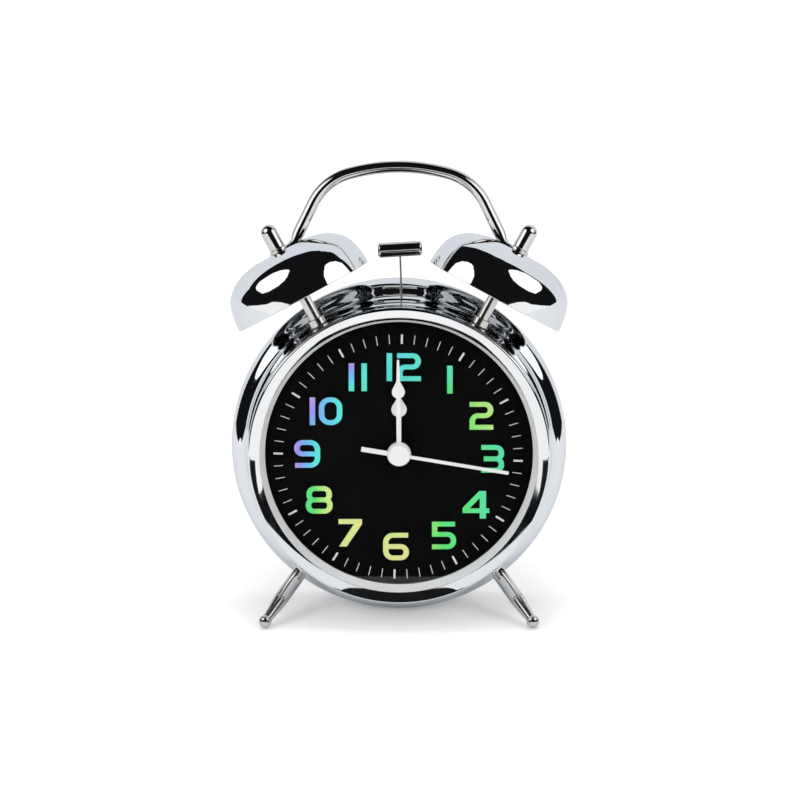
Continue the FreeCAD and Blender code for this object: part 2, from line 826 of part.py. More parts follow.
def handle_shape():
    place = post_place(1)
    up_axis = place.Rotation.multVec(Vector(0, 0, 1))
    centre = place.multVec(Vector(0, 0, num(plate_start + " + handle_plate_thickness / 2")))
    lean = math.radians(num("post_lean"))
    rise = Vector(0, math.sin(lean), math.cos(lean))
    depthwards = Vector(0, math.cos(lean), -math.sin(lean))
    inward = depthwards.cross(up_axis) * -1
    if inward.x > 0:
        inward = inward * -1

    def at(across, up):
        return Vector(across, centre.y, centre.z) + rise * up

    tilt = math.radians(num("handle_arm_tilt"))
    corner = num("handle_corner_radius")
    crown = num("handle_top_radius")
    neck = Vector(centre.x - num("handle_neck_in"), num("handle_neck_up"), 0)
    along = Vector(-math.sin(tilt), math.cos(tilt), 0)
    inside = Vector(-math.cos(tilt), -math.sin(tilt), 0)
    crown_centre = Vector(0, num("handle_rise") - crown, 0)
    offset = neck + inside * corner - crown_centre
    lead = offset.dot(along)
    run = math.sqrt(lead ** 2 - offset.dot(offset) + (crown - corner) ** 2) - lead
    corner_centre = neck + inside * corner + along * run
    first = neck + along * run
    last = crown_centre + (corner_centre - crown_centre) * (crown / (crown - corner))
    middle = corner_centre + (first + last - corner_centre * 2).normalize() * corner
    flat = [neck, first, middle, last]
    right = [at(p.x, p.y) for p in flat]
    left = [at(-p.x, p.y) for p in flat]
    top = at(0, num("handle_rise"))
    path = Part.Wire([
        Part.LineSegment(right[0], right[1]).toShape(),
        Part.Arc(right[1], right[2], right[3]).toShape(),
        Part.Arc(right[3], top, left[3]).toShape(),
        Part.Arc(left[3], left[2], left[1]).toShape(),
        Part.LineSegment(left[1], left[0]).toShape(),
    ])
    direction = (right[1] - right[0]).normalize()
    radius = num("handle_radius")
    ring = Part.Wire(Part.Circle(right[0], direction, radius).toShape())
    shape = path.makePipeShell([ring], True, False)
    half = num("handle_plate_thickness / 2")
    section = Part.Ellipse(Vector(), num("handle_neck_half_width"), half).toShape()
    neck_root = centre + inward * num("handle_neck_start")
    section.Placement = Placement(neck_root, Rotation(depthwards, up_axis, inward, "ZXY"))
    end = Part.Circle(Vector(), Vector(0, 0, 1), radius).toShape()
    end.Placement = Placement(right[0], Rotation(depthwards, up_axis, direction, "ZXY"))
    neck_solid = Part.makeLoft([Part.Wire(section), Part.Wire(end)], True)
    start = num(plate_start)
    disc = Part.makeCylinder(num("handle_plate_radius"), half * 2)
    disc.Placement = place * Placement(Vector(0, 0, start), Rotation())
    hole = Part.makeCylinder(num("bell_hole_radius"), half * 8)
    hole.Placement = place * Placement(Vector(0, 0, start - half * 3), Rotation())
    one_end = disc.fuse(neck_solid).cut(hole)
    other_end = one_end.mirror(Vector(), Vector(1, 0, 0))
    return shape.fuse([one_end, other_end]).removeSplitter()


handle = doc.addObject("Part::Feature", "Handle")
handle.Shape = handle_shape()
piece("handle", handle)

# Feet: each is trimmed to the round of the case and held by a nut inside.

foot_length = "sqrt(foot_reach_side ^ 2 + foot_reach_front ^ 2 + foot_reach_down ^ 2)"
foot_nuts = []
for word, side in SIDES:
    place = foot_place(side)
    blank = turned("FootBlank" + word, [
        ("0", "-4"),
        ("foot_radius", "-4"),
        ("foot_radius", foot_length + " - foot_taper_length"),
        ("foot_neck_radius", foot_length + " - sqrt(foot_ball_radius ^ 2 - foot_neck_radius ^ 2)"),
        ("0", foot_length + " + foot_ball_radius", "foot_ball_radius"),
    ], "Z")
    blank.Placement = place
    stud = axis_rod("FootStud" + word, "stud_radius", "-foot_stud_end", "foot_radius", place)
    piece("foot_" + word, fuse("Foot" + word, cut("FootTrimmed" + word, blank, envelope), stud))
    nut_top = "(-case_wall - foot_nut_gap)"
    foot_nuts.append(axis_nut("FootNut" + word, "nut_width", nut_top + " - nut_length", nut_top,
                              "stud_radius + fit_gap", place))
piece("foot_nuts", group("FootNuts", *foot_nuts))

# Movement. The wheels' axes, in the plane of the dial, are set out from the tooth counts.

centre = (0.0, 0.0)
motion = num("motion_module")
minute_axis = polar(centre, spacing("cannon_teeth", "minute_teeth", motion), num("motion_angle"))
time_axis = polar(minute_axis, spacing("minute_teeth", "setting_teeth", motion), num("motion_angle"))
hour_module = math.hypot(*minute_axis) * 2 / num("minute_pinion_teeth + hour_teeth")
alarm_module = num("alarm_module")
alarm_axis = polar(centre, spacing("alarm_teeth", "alarm_pinion_teeth", alarm_module), num("alarm_angle"))
third_module = num("third_module")
third_axis = polar(centre, spacing("second_pinion_teeth", "third_teeth", third_module), num("third_angle"))
centre_module = math.hypot(*third_axis) * 2 / num("third_pinion_teeth + centre_teeth")
inter_module = num("intermediate_module")
inter_distance = spacing("intermediate_pinion_teeth", "second_teeth", inter_module)
inter_axis = polar(centre, inter_distance, num("intermediate_angle"))
rotor_module = num("rotor_module")
rotor_distance = spacing("rotor_pinion_teeth", "intermediate_teeth", rotor_module)
rotor_axis = polar(inter_axis, rotor_distance, num("rotor_angle"))

front_plate_back = "(movement_front + front_plate_thickness)"
middle_plate_back = "(middle_plate_front + middle_plate_thickness)"
housing_inside = "(movement_back - housing_back_wall)"
half_room = "(movement_half - housing_wall - 0.2)"
screw_corners = [(across, up) for across in ("corner_screw_place", "-corner_screw_place")
                 for up in ("corner_screw_place", "-corner_screw_place")]


def spot_rod(name, radius, front, back, spot):
    return rod(name, radius, front, back, "%.6f" % spot[0], "%.6f" % spot[1])


square = corners_of("-movement_half", "-movement_half", "movement_half", "movement_half")
front_plate = plate("FrontPlateFlat", "movement_front", "front_plate_thickness", outline=square)
front_collar = rod("FrontCollar", "collar_outer", "collar_front", "movement_front + 0.5")
front_bore = rod("FrontBore", "collar_bore", "collar_front - 1", front_plate_back + " + 1")
front_cuts = [front_bore]
for across, up in screw_corners:
    front_cuts.append(rod("FrontScrewBore%d" % len(front_cuts), "small_screw_radius + fit_gap",
                          "movement_front + 0.3", front_plate_back + " + 1", across, up))
for axis in (time_axis, alarm_axis):
    front_cuts.append(spot_rod("FrontPivot%d" % len(front_cuts), "arbor_radius + running_gap",
                               front_plate_back + " - pivot_length - 0.1", front_plate_back + " + 1", axis))
front_solid = fuse("FrontPlateCollar", front_plate, front_collar)
piece("movement_front_plate", cut("FrontPlate", front_solid, *front_cuts))

room = corners_of("-" + half_room, "-" + half_room, half_room, half_room)
middle_flat = plate("MiddlePlateFlat", "middle_plate_front", "middle_plate_thickness", outline=room)
minute_post = spot_rod("MinutePost", "arbor_radius", "hour_wheel_front - 0.3", "middle_plate_front + 0.2",
                       minute_axis)
middle_bore = "cannon_outer + running_gap"
middle_cuts = [rod("MiddleBore", middle_bore, "middle_plate_front - 1", middle_plate_back + " + 1")]
for across, up in screw_corners:
    middle_cuts.append(rod("MiddleScrewBore%d" % len(middle_cuts), "corner_post_radius + 0.15",
                           "middle_plate_front - 1", middle_plate_back + " + 1", across, up))
for axis in (time_axis, alarm_axis):
    middle_cuts.append(spot_rod("MiddleArborBore%d" % len(middle_cuts), "knob_arbor_radius + running_gap",
                                "middle_plate_front - 1", middle_plate_back + " + 1", axis))
for axis in (third_axis, inter_axis, rotor_axis):
    middle_cuts.append(spot_rod("MiddlePivot%d" % len(middle_cuts), "pivot_radius + running_gap",
                                middle_plate_back + " - pivot_length - 0.1", middle_plate_back + " + 1", axis))
middle_solid = fuse("MiddlePlateParts", middle_flat, minute_post)
piece("movement_middle_plate", cut("MiddlePlate", middle_solid, *middle_cuts))

housing_block = block("HousingBlock", ("-movement_half", front_plate_back, "-movement_half"),
                      ("movement_half", "movement_back", "movement_half"))
inner_half = "(movement_half - housing_wall)"
housing_room = block("HousingRoom", ("-" + inner_half, front_plate_back + " - 1", "-" + inner_half),
                     (inner_half, housing_inside, inner_half))
corner_posts = []
corner_bores = []
small_screws = []
for across, up in screw_corners:
    tag = "%d" % len(corner_posts)
    corner_posts.append(rod("CornerPost" + tag, "corner_post_radius", front_plate_back,
                            housing_inside + " + 0.2", across, up))
    corner_bores.append(rod("CornerBore" + tag, "small_screw_radius + fit_gap", front_plate_back + " - 1",
                            "movement_back + 1", across, up))
    shank = rod("SmallShank" + tag, "small_screw_radius", "movement_front + 0.4",
                "movement_back + 0.2", across, up)
    head = rod("SmallHead" + tag, "small_head_radius", "movement_back + 0.1",
               "movement_back + 0.1 + small_head_height", across, up)
    small_screws.append(fuse("SmallScrew" + tag, shank, head))
ledge = "(%s + 0.1)" % middle_plate_back
ledges = []
for side in ("-1", "1"):
    near = "%s * (%s + 0.2)" % (side, inner_half)
    far = "%s * (%s - 1)" % (side, inner_half)
    low, high = (near, far) if side == "-1" else (far, near)
    ledges.append(block("Ledge%d" % len(ledges), (low, ledge, "-8"), (high, ledge + " + 1", "8")))
housing_shell = cut("HousingShell", housing_block, housing_room)
housing_solid = fuse("HousingSolid", housing_shell, *(corner_posts + ledges))
housing_cuts = list(corner_bores)
for axis in (time_axis, alarm_axis):
    housing_cuts.append(spot_rod("HousingArborBore%d" % len(housing_cuts), "knob_arbor_radius + running_gap",
                                 housing_inside + " - 1", "movement_back + 1", axis))
for axis in (centre, third_axis, inter_axis, rotor_axis):
    housing_cuts.append(spot_rod("HousingPivot%d" % len(housing_cuts), "pivot_radius + running_gap",
                                 housing_inside + " - 1", housing_inside + " + pivot_length + 0.1", axis))
piece("movement_housing", cut("Housing", housing_solid, *housing_cuts))
piece("movement_screws", group("MovementScrews", *small_screws))

# Wheels

thick = num("wheel_thickness")
back_pivot = (num("pivot_radius"), num(housing_inside) - 0.3, num(housing_inside) + num("pivot_length"))
middle_back = num(middle_plate_back)
middle_pivot = (num("pivot_radius"), middle_back - num("pivot_length"), middle_back + 0.3)
arbor = num("arbor_radius")
inner_start = middle_back + 0.2
inner_stop = num(housing_inside) - 0.2
beta = num("motion_angle")

arbor_piece("alarm_wheel", centre,
            [("alarm_teeth", alarm_module, num("alarm_wheel_front"), thick, num("alarm_angle"))],
            [(num("alarm_outer"), num("alarm_hand_front") - 0.1, num("alarm_wheel_front") + thick)],
            [(num("alarm_bore"), 0, 20)])
hour_phase = beta
arbor_piece("hour_wheel", centre,
            [("hour_teeth", hour_module, num("hour_wheel_front"), thick, hour_phase)],
            [(num("hour_outer"), num("hour_hand_front") - 0.1, num("hour_wheel_front") + thick)],
            [(num("hour_bore"), 0, 20)])
arbor_piece("cannon_pinion", centre,
            [("cannon_teeth", motion, num("minute_wheel_front"), thick,
              facing_gap(beta + 180, "cannon_teeth"))],
            [(num("cannon_outer"), num("minute_hand_front") - 0.1, num("third_wheel_front") - 0.3)],
            [(num("cannon_bore"), -1, 20)])
arbor_piece("minute_wheel", minute_axis,
            [("minute_teeth", motion, num("minute_wheel_front"), thick, beta),
             ("minute_pinion_teeth", hour_module, num("hour_wheel_front"), thick + 0.4,
              facing_gap(beta, "minute_pinion_teeth"))],
            [],
            [(arbor + num("running_gap"), 0, 20)])
arbor_piece("centre_wheel", centre,
            [("centre_teeth", centre_module, num("centre_wheel_front"), thick, num("third_angle"))],
            [(num("cannon_outer") + 1.2, num("centre_wheel_front") - 0.2,
              num("centre_wheel_front") + thick + 0.2)],
            [(num("cannon_outer + running_gap"), 0, 20)])
arbor_piece("third_wheel", third_axis,
            [("third_teeth", third_module, num("third_wheel_front"), thick, num("third_angle") + 180),
             ("third_pinion_teeth", centre_module, num("centre_wheel_front") - 0.1, thick + 0.9,
              facing_gap(num("third_angle"), "third_pinion_teeth"))],
            [(arbor, inner_start, inner_stop), middle_pivot, back_pivot])
arbor_piece("second_wheel", centre,
            [("second_teeth", inter_module, num("second_wheel_front"), thick, num("intermediate_angle")),
             ("second_pinion_teeth", third_module, num("third_wheel_front") - 0.1, thick + 0.4,
              facing_gap(num("third_angle") + 180, "second_pinion_teeth"))],
            [(num("second_arbor_radius"), num("second_hand_front") + 0.2, inner_stop), back_pivot])
arbor_piece("intermediate_wheel", inter_axis,
            [("intermediate_teeth", rotor_module, num("intermediate_wheel_front"), thick, num("rotor_angle")),
             ("intermediate_pinion_teeth", inter_module, num("second_wheel_front") - 0.1, thick + 0.5,
              facing_gap(num("intermediate_angle"), "intermediate_pinion_teeth"))],
            [(arbor * 0.8, inner_start, inner_stop), middle_pivot, back_pivot])
arbor_piece("rotor", rotor_axis,
            [("rotor_pinion_teeth", rotor_module, num("intermediate_wheel_front") - 0.1, thick + 0.3,
              facing_gap(num("rotor_angle"), "rotor_pinion_teeth"))],
            [(arbor, inner_start, inner_stop), middle_pivot, back_pivot,
             (num("magnet_radius"), num("magnet_front"), num("magnet_front + magnet_length"))])

# Stator, coil and circuit board of the stepper.

rotor_across = "%.6f" % rotor_axis[0]
stator_front = "(magnet_front + stator_set_back)"
stator_back = "(%s + stator_thickness)" % stator_front
stator_flat = plate("StatorFlat", stator_front, "stator_thickness", outline=corners_of(
    "-stator_left", "stator_low", rotor_across + " + magnet_radius + stator_rim", "stator_high"))
stator_window = block("StatorWindow",
                      ("-window_left", stator_front + " - 1", "window_low"),
                      (rotor_across + " + magnet_radius - 1", stator_back + " + 1", "window_high"))
stator_eye = spot_rod("StatorEye", "magnet_radius + stator_air_gap", stator_front + " - 1",
                      stator_back + " + 1", rotor_axis)
piece("stator", cut("Stator", stator_flat, stator_window, stator_eye))
coil_outer = block("CoilOuter",
                   ("-coil_left", "coil_front", "coil_low"),
                   ("-coil_right", housing_inside + " - 0.1", "coil_high"))
coil_hole = block("CoilHole",
                  ("-coil_left - 1", stator_front + " - 0.1", "coil_core_low"),
                  ("-coil_right + 1", stator_back + " + 0.1", "coil_core_high"))
piece("stepper_coil", cut("Coil", coil_outer, coil_hole))
board_back = "(board_front + board_thickness)"
board = block("Board",
              ("board_left", "board_front", "board_low"),
              ("board_right", board_back, "board_high"))
chip = block("Chip",
             ("chip_left", board_back + " - 0.1", "chip_low"),
             ("chip_left + chip_size", board_back + " + chip_height", "chip_low + chip_size"))
piece("circuit_board", fuse("CircuitBoard", board, chip))

# Hands


def camel(label):
    return label.title().replace("_", "")


def hand(label, front, outline, boss_radius, bore, angle="0"):
    name = camel(label)
    blade = plate(name + "Blade", front, "hand_thickness", outline=outline)
    boss = rod(name + "Boss", boss_radius, front, front + " + hand_thickness + 0.3")
    hole = rod(name + "Hole", bore, front + " - 1", front + " + 2")
    result = cut(name, fuse(name + "Solid", blade, boss), hole)
    return piece(label, result, Placement(Vector(), Rotation(Vector(0, 1, 0), num(angle))))


# A drop shaped hand: the drop is a round of its own radius about its height, and its sides run
# from the slope's tangent points to the neck.

def spade(length, height, radius, slope):
    half_shaft = "hand_shaft_width / 2"
    tangent_across = "%s * cos(%s)" % (radius, slope)
    tangent_up = "%s + %s * sin(%s)" % (height, radius, slope)
    neck = "hand_neck_width / 2"
    right = [
        (half_shaft, "0"),
        (half_shaft, "%s - sqrt(%s ^ 2 - (%s) ^ 2)" % (height, radius, half_shaft)),
        (tangent_across, tangent_up, radius),
        (neck, "%s + (%s - %s) / tan(%s)" % (tangent_up, tangent_across, neck, slope)),
        ("hand_tip_width / 2", length),
    ]
    left = []
    for across, up, *arc in backwards(right):
        left.append(("-(%s)" % across, up, *["-(%s)" % part for part in arc]))
    return right + left


hand("alarm_hand", "alarm_hand_front", [
    ("hand_shaft_width / 2", "0"),
    ("hand_tip_width / 2", "alarm_hand_length"),
    ("-hand_tip_width / 2", "alarm_hand_length"),
    ("-hand_shaft_width / 2", "0"),
], "alarm_outer + 1", "alarm_outer + 0.02")
hand("hour_hand", "hour_hand_front",
     spade("hour_hand_length", "hour_bulb_height", "hour_bulb_radius", "hour_bulb_slope"),
     "hour_outer + 1.2", "hour_outer + 0.02")
hand("minute_hand", "minute_hand_front",
     spade("minute_hand_length", "minute_bulb_height", "minute_bulb_radius", "minute_bulb_slope"),
     "minute_boss_radius", "cannon_outer + 0.02", "minute_rest_angle")
second_blade = plate("SecondBlade", "second_hand_front", "hand_thickness", outline=[
    ("second_hand_width / 2", "0"),
    ("second_hand_width / 2", "second_hand_length"),
    ("-second_hand_width / 2", "second_hand_length"),
    ("-second_hand_width / 2", "0"),
    ("-second_tail_width / 2", "0"),
    ("-second_tail_width / 2", "-second_tail_length"),
    ("second_tail_width / 2", "-second_tail_length"),
    ("second_tail_width / 2", "0"),
])
hub_cap = rod("HubCap", "hub_cap_radius", "hub_cap_front", "second_hand_front")
hub_boss = rod("HubBoss", "second_arbor_radius + 0.7", "second_hand_front",
               "second_hand_front + hand_thickness + 0.6")
hub_bore = rod("HubBore", "second_arbor_radius + 0.02", "second_hand_front + 0.1", "second_hand_front + 3")
piece("second_hand", cut("SecondHand", fuse("SecondHandSolid", second_blade, hub_cap, hub_boss), hub_bore),
      Placement(Vector(), Rotation(Vector(0, 1, 0), num("second_rest_angle"))))

# Setting knobs: arbor and pinion in the movement, fluted knob behind the cover.

cover_front = "(%s - cover_recess)" % case_end
cover_back = "(%s + cover_thickness)" % cover_front
knob_front = "(%s + knob_gap)" % cover_back


def setting_knob(label, axis, teeth, module, wheel_front, phase):
    name = camel(label)
    blank = rod(name + "Blank", "knob_radius", knob_front, knob_front + " + knob_length")
    shaft = rod(name + "Shaft", "knob_arbor_radius", wheel_front + " + wheel_thickness + 0.1",
                knob_front + " + 1")
    tip = rod(name + "Tip", "arbor_radius", front_plate_back + " - pivot_length", wheel_front + " + 0.4")
    flutes = []
    count = int(num("flute_count"))
    for turn in range(count):
        spot = polar(centre, num("knob_radius - flute_depth + flute_radius"), turn * 360 / count)
        flutes.append(spot_rod("%sFlute%d" % (name, turn), "flute_radius", knob_front + " + flute_start",
                               knob_front + " + knob_length + 1", spot))
    disc = toothed_disc(int(num(teeth)), module, thick + 0.2, phase)
    disc.translate(Vector(0, num(wheel_front), 0))
    pinion = doc.addObject("Part::Feature", name + "Pinion")
    pinion.Shape = disc
    fluted = cut(name + "Fluted", blank, *flutes)
    result = fuse(name, fluted, shaft, tip, pinion)
    return piece(label, result, Placement(Vector(axis[0], 0, axis[1]), Rotation()))


setting_knob("time_knob", time_axis, "setting_teeth", motion, "minute_wheel_front",
             facing_gap(beta, "setting_teeth"))
setting_knob("alarm_knob", alarm_axis, "alarm_pinion_teeth", alarm_module, "alarm_wheel_front",
             facing_gap(num("alarm_angle"), "alarm_pinion_teeth"))

# Striker

pivot_height = "(case_front_radius - pivot_inset)"
crank_height = "(%s - crank_drop)" % pivot_height
motor_side = "(hammer_side + crank_module * (crank_teeth + motor_teeth) / 2)"
bracket_back = "(bracket_front + bracket_thickness)"
bracket_foot = "(movement_half + 0.1)"
bracket_plate = block("BracketPlate", ("bracket_left", "bracket_front", bracket_foot),
                      ("bracket_right", bracket_back, pivot_height + " + bracket_margin"))
bracket_flange = block("BracketFlange", ("bracket_left", "movement_front + 2", bracket_foot),
                       ("bracket_right", "movement_back", bracket_foot + " + 1.2"))
stub = rod("CrankStub", "stub_radius", "crank_gear_front + 0.45", "bracket_front + 0.3",
           "hammer_side", crank_height)
pin_hole = rod("PinHole", "hammer_pin_radius + 0.02", "bracket_front - 1", bracket_back + " + 1",
               "hammer_side", pivot_height)
shaft_hole = rod("ShaftHole", "motor_shaft_radius + 0.3", "bracket_front - 1", bracket_back + " + 1",
                 motor_side, crank_height)
bracket_solid = fuse("BracketSolid", bracket_plate, bracket_flange, stub)
piece("striker_bracket", cut("StrikerBracket", bracket_solid, pin_hole, shaft_hole))
pivot_pin = rod("PivotPin", "hammer_pin_radius", "lever_front - 0.6", bracket_back,
                "hammer_side", pivot_height)
piece("hammer_pivot_pin", group("HammerPivotPin", pivot_pin))

motor_can = rod("MotorCan", "motor_radius", bracket_back + " + 0.1", bracket_back + " + motor_length",
                motor_side, crank_height)
motor_bore = rod("MotorBore", "motor_shaft_radius + running_gap", bracket_back + " - 1", bracket_back + " + 4",
                 motor_side, crank_height)
piece("alarm_motor", cut("AlarmMotor", motor_can, motor_bore))

crank_axis = (num("hammer_side"), num(crank_height))
motor_axis = (num(motor_side), num(crank_height))
crank_module = num("crank_module")
crank_front = num("crank_gear_front")
arbor_piece("motor_pinion", motor_axis,
            [("motor_teeth", crank_module, crank_front, 1.2, facing_gap(0, "motor_teeth"))],
            [(num("motor_shaft_radius"), crank_front + 0.5, num(bracket_back) + 3.5)])
crank_disc = toothed_disc(int(num("crank_teeth")), crank_module, 1.2, 0)
crank_disc.translate(Vector(0, crank_front, 0))
pin_place = Vector(0, num("lever_front") + 0.1, num("crank_throw"))
pin_length = crank_front + 0.4 - pin_place.y
crank_pin = Part.makeCylinder(num("crank_pin_radius"), pin_length, pin_place, Vector(0, 1, 0))
stub_bore = along_depth(num("stub_radius + running_gap"), crank_front + 0.4, 20)
crank = doc.addObject("Part::Feature", "CrankGear")
crank.Shape = crank_disc.cut(stub_bore).fuse(crank_pin)
piece("crank_gear", crank, Placement(Vector(crank_axis[0], 0, crank_axis[1]), Rotation()))

lever_back = "(lever_front + lever_thickness)"
lever_hub = rod("LeverHub", "lever_hub_radius", "lever_front", "bracket_front - 0.3",
                "hammer_side", pivot_height)
lever_arm = block("LeverArm",
                  ("hammer_side - lever_width / 2", "lever_front", crank_height + " - lever_end_margin"),
                  ("hammer_side + lever_width / 2", lever_back, pivot_height))
wire_plane = "slot_depth"
socket_top = "(%s + lever_hub_radius + socket_length)" % pivot_height
wire_socket = block("WireSocket",
                    ("hammer_side - socket_half_width", "lever_front", pivot_height),
                    ("hammer_side + socket_half_width", lever_back, socket_top))
fork_half = "(crank_pin_radius + fork_clearance)"
fork_top = "(%s + crank_throw + crank_pin_radius + 1.8)" % crank_height
fork_slot = block("ForkSlot",
                  ("hammer_side - " + fork_half, "lever_front - 1", crank_height + " - 2"),
                  ("hammer_side + " + fork_half, lever_back + " + 1", fork_top))
lever_bore = rod("LeverBore", "hammer_pin_radius + running_gap", "lever_front - 1", "bracket_front",
                 "hammer_side", pivot_height)


def upright_rod(name, radius, low, high, across, depth):
    cylinder = doc.addObject("Part::Cylinder", name)
    bind(cylinder, "Radius", radius)
    bind(cylinder, "Height", "(%s) - (%s)" % (high, low))
    for axis, text in zip("xyz", (across, depth, low)):
        bind(cylinder, "Placement.Base." + axis, text)
    return cylinder


wire_start = "(%s - wire_insert - socket_length)" % socket_top
wire_hole = upright_rod("WireHole", "wire_radius + 0.02", wire_start, socket_top + " + 1",
                        "hammer_side", wire_plane)
lever_solid = fuse("LeverSolid", lever_hub, lever_arm, wire_socket)
piece("hammer_lever", cut("HammerLever", lever_solid, fork_slot, lever_bore, wire_hole))

# The wire leans back to the head, which hangs level between the inner rims of the bells.

bell_axis = post_place(1)
post_direction = bell_axis.Rotation.multVec(Vector(0, 0, 1))
across_bell = Vector(-1, 0, 0) + post_direction * post_direction.x
across_bell.normalize()
inner_rim = bell_axis.multVec(Vector(0, 0, num("bell_base"))) + across_bell * num("bell_radius")
half_head = inner_rim.x - num("strike_room")
wire_bend = "(case_front_radius + wire_bend_rise)"
bend = Vector(num("hammer_side"), num("slot_depth"), num(wire_bend))
head_height = inner_rim.z + num("hammer_head_rise")
head_centre = Vector(num("hammer_head_side"), num("hammer_head_depth"), head_height)
upper = head_centre - bend
lower_wire = upright_rod("LowerWire", "wire_radius", wire_start + " + 0.1", wire_bend,
                         "hammer_side", wire_plane)
elbow = doc.addObject("Part::Sphere", "WireElbow")
bind(elbow, "Radius", "wire_radius")
elbow.Placement = Placement(bend, Rotation())
upper_wire = doc.addObject("Part::Cylinder", "UpperWire")
bind(upper_wire, "Radius", "wire_radius")
upper_wire.Height = upper.Length - num("hammer_head_radius") * 0.3
upper_wire.Placement = axis_place(bend, upper)
piece("hammer_wire", fuse("HammerWire", lower_wire, elbow, upper_wire))

head_end = "%.6f" % half_head
head_blank = turned("HammerHeadTurned", [
    ("0", "-" + head_end),
    ("hammer_head_radius - hammer_head_chamfer", "-" + head_end),
    ("hammer_head_radius", "hammer_head_chamfer - " + head_end),
    ("hammer_head_radius", head_end + " - hammer_head_chamfer"),
    ("hammer_head_radius - hammer_head_chamfer", head_end),
    ("0", head_end),
], "Z")
head_blank.Placement = Placement(head_centre, Rotation(Vector(0, 1, 0), 90 - num("hammer_head_tilt")))
wire_socket_hole = doc.addObject("Part::Cylinder", "HeadHole")
bind(wire_socket_hole, "Radius", "wire_radius + 0.02")
wire_socket_hole.Height = upper.Length - num("hammer_head_radius") * 0.25
wire_socket_hole.Placement = axis_place(bend, upper)
piece("hammer_head", cut("HammerHead", head_blank, wire_socket_hole))

# Back cover with the battery tray, pillars and openings.

door_front = "(%s - door_thickness)" % cover_back
cell_depth = "(%s - cell_room - cell_radius)" % door_front
tray_half = "(cell_radius + tray_clearance)"
contact_side = "(cell_length / 2 + cell_nub_length + 0.1)"
tray_right = "(%s + contact_thickness + 0.2)" % contact_side
tray_left = "(-cell_length / 2 - leaf_room - 0.2)"
tray_low = "(cell_height - %s)" % tray_half
tray_high = "(cell_height + %s)" % tray_half
tray_floor = "(%s - %s)" % (cell_depth, tray_half)
cover_disc = rod("CoverDisc", rear_opening + " - cover_gap", cover_front, cover_back)
tray_box = block("TrayBox",
                 (tray_left + " - tray_wall", tray_floor + " - tray_wall", tray_low + " - tray_wall"),
                 (tray_right + " + tray_wall", cover_back, tray_high + " + tray_wall"))
tray_room = block("TrayRoom",
                  (tray_left, tray_floor, tray_low),
                  (tray_right, cover_back + " + 1", tray_high))
pillars = []
cover_cuts = [tray_room]
cover_screws = []
for across in ("boss_place", "-boss_place"):
    for up in ("boss_place", "-boss_place"):
        tag = "%d" % len(pillars)
        spot = (across, up)
        pillars.append(rod("Pillar" + tag, "boss_radius", "boss_end + 0.1", cover_front + " + 0.2", *spot))
        cover_cuts.append(rod("PillarBore" + tag, "pillar_bore", "boss_end - 1",
                              cover_back + " + 1", *spot))
        head_front = "(%s + 0.1)" % cover_back
        head_back = "(%s + screw_head_height)" % head_front
        shank = rod("CoverShank" + tag, "screw_radius", dial_back + " + 0.6", head_front + " + 0.2", *spot)
        head = rod("CoverHead" + tag, "screw_head_radius", head_front, head_back, *spot)
        slot_from = (across + " - screw_slot_width / 2", head_back + " - screw_slot_depth",
                     up + " - screw_slot_length / 2")
        slot_to = (across + " + screw_slot_width / 2", head_back + " + 1", up + " + screw_slot_length / 2")
        blank = fuse("CoverScrewBlank" + tag, shank, head)
        cover_screws.append(cut("CoverScrew" + tag, blank, block("CoverSlot" + tag, slot_from, slot_to)))
for axis in (time_axis, alarm_axis):
    cover_cuts.append(spot_rod("CoverArborBore%d" % len(cover_cuts), "knob_arbor_radius + running_gap",
                               cover_front + " - 1", cover_back + " + 1", axis))
stem_left = "(switch_side - switch_stem_width / 2)"
stem_right = "(switch_side + switch_stem_width / 2)"
stem_low = "(switch_height - switch_stem_height / 2)"
stem_high = "(switch_height + switch_stem_height / 2)"
cover_cuts.append(block("SwitchSlot",
                        (stem_left + " - 0.2", cover_front + " - 1", stem_low + " - 0.2"),
                        (stem_right + " + 0.2", cover_back + " + 1", stem_high + " + switch_travel + 0.2")))
cover_solid = fuse("CoverSolid", cover_disc, tray_box, *pillars)
piece("back_cover", cut("BackCover", cover_solid, *cover_cuts))
piece("back_cover_screws", group("BackCoverScrews", *cover_screws))

switch_stem = block("SwitchStem",
                    (stem_left, cover_front + " - 1", stem_low),
                    (stem_right, cover_back + " + switch_reach", stem_high))
switch_flange = block("SwitchFlange",
                      ("switch_side - switch_flange_half_width", cover_front + " - 1.2",
                       "switch_height - switch_flange_half_height"),
                      ("switch_side + switch_flange_half_width", cover_front + " - 0.2",
                       "switch_height + switch_flange_half_height"))
switch_thumb = block("SwitchThumb",
                     ("switch_side - switch_thumb_half_width", cover_back + " + 0.2",
                      "switch_height - switch_thumb_half_height"),
                     ("switch_side + switch_thumb_half_width",
                      cover_back + " + 0.2 + switch_thumb_thickness",
                      "switch_height + switch_thumb_half_height"))
piece("alarm_switch", fuse("AlarmSwitch", switch_stem, switch_flange, switch_thumb))

cell_right = "cell_length / 2"
cell = side_rod("CellBody", "cell_radius", "-cell_length / 2", cell_right, cell_depth, "cell_height")
nub = side_rod("CellNub", "cell_nub_radius", cell_right + " - 0.2", cell_right + " + cell_nub_length",
               cell_depth, "cell_height")
piece("battery_cell", fuse("BatteryCell", cell, nub))
contact_plate = block("ContactPlate",
                      (contact_side, cell_depth + " - contact_half", "cell_height - contact_half"),
                      (contact_side + " + contact_thickness", cell_depth + " + contact_half",
                       "cell_height + contact_half"))
piece("battery_contact", group("BatteryContact", contact_plate))

# Negative contact: a springy leaf, folded at its top, whose bend leans on the cell.

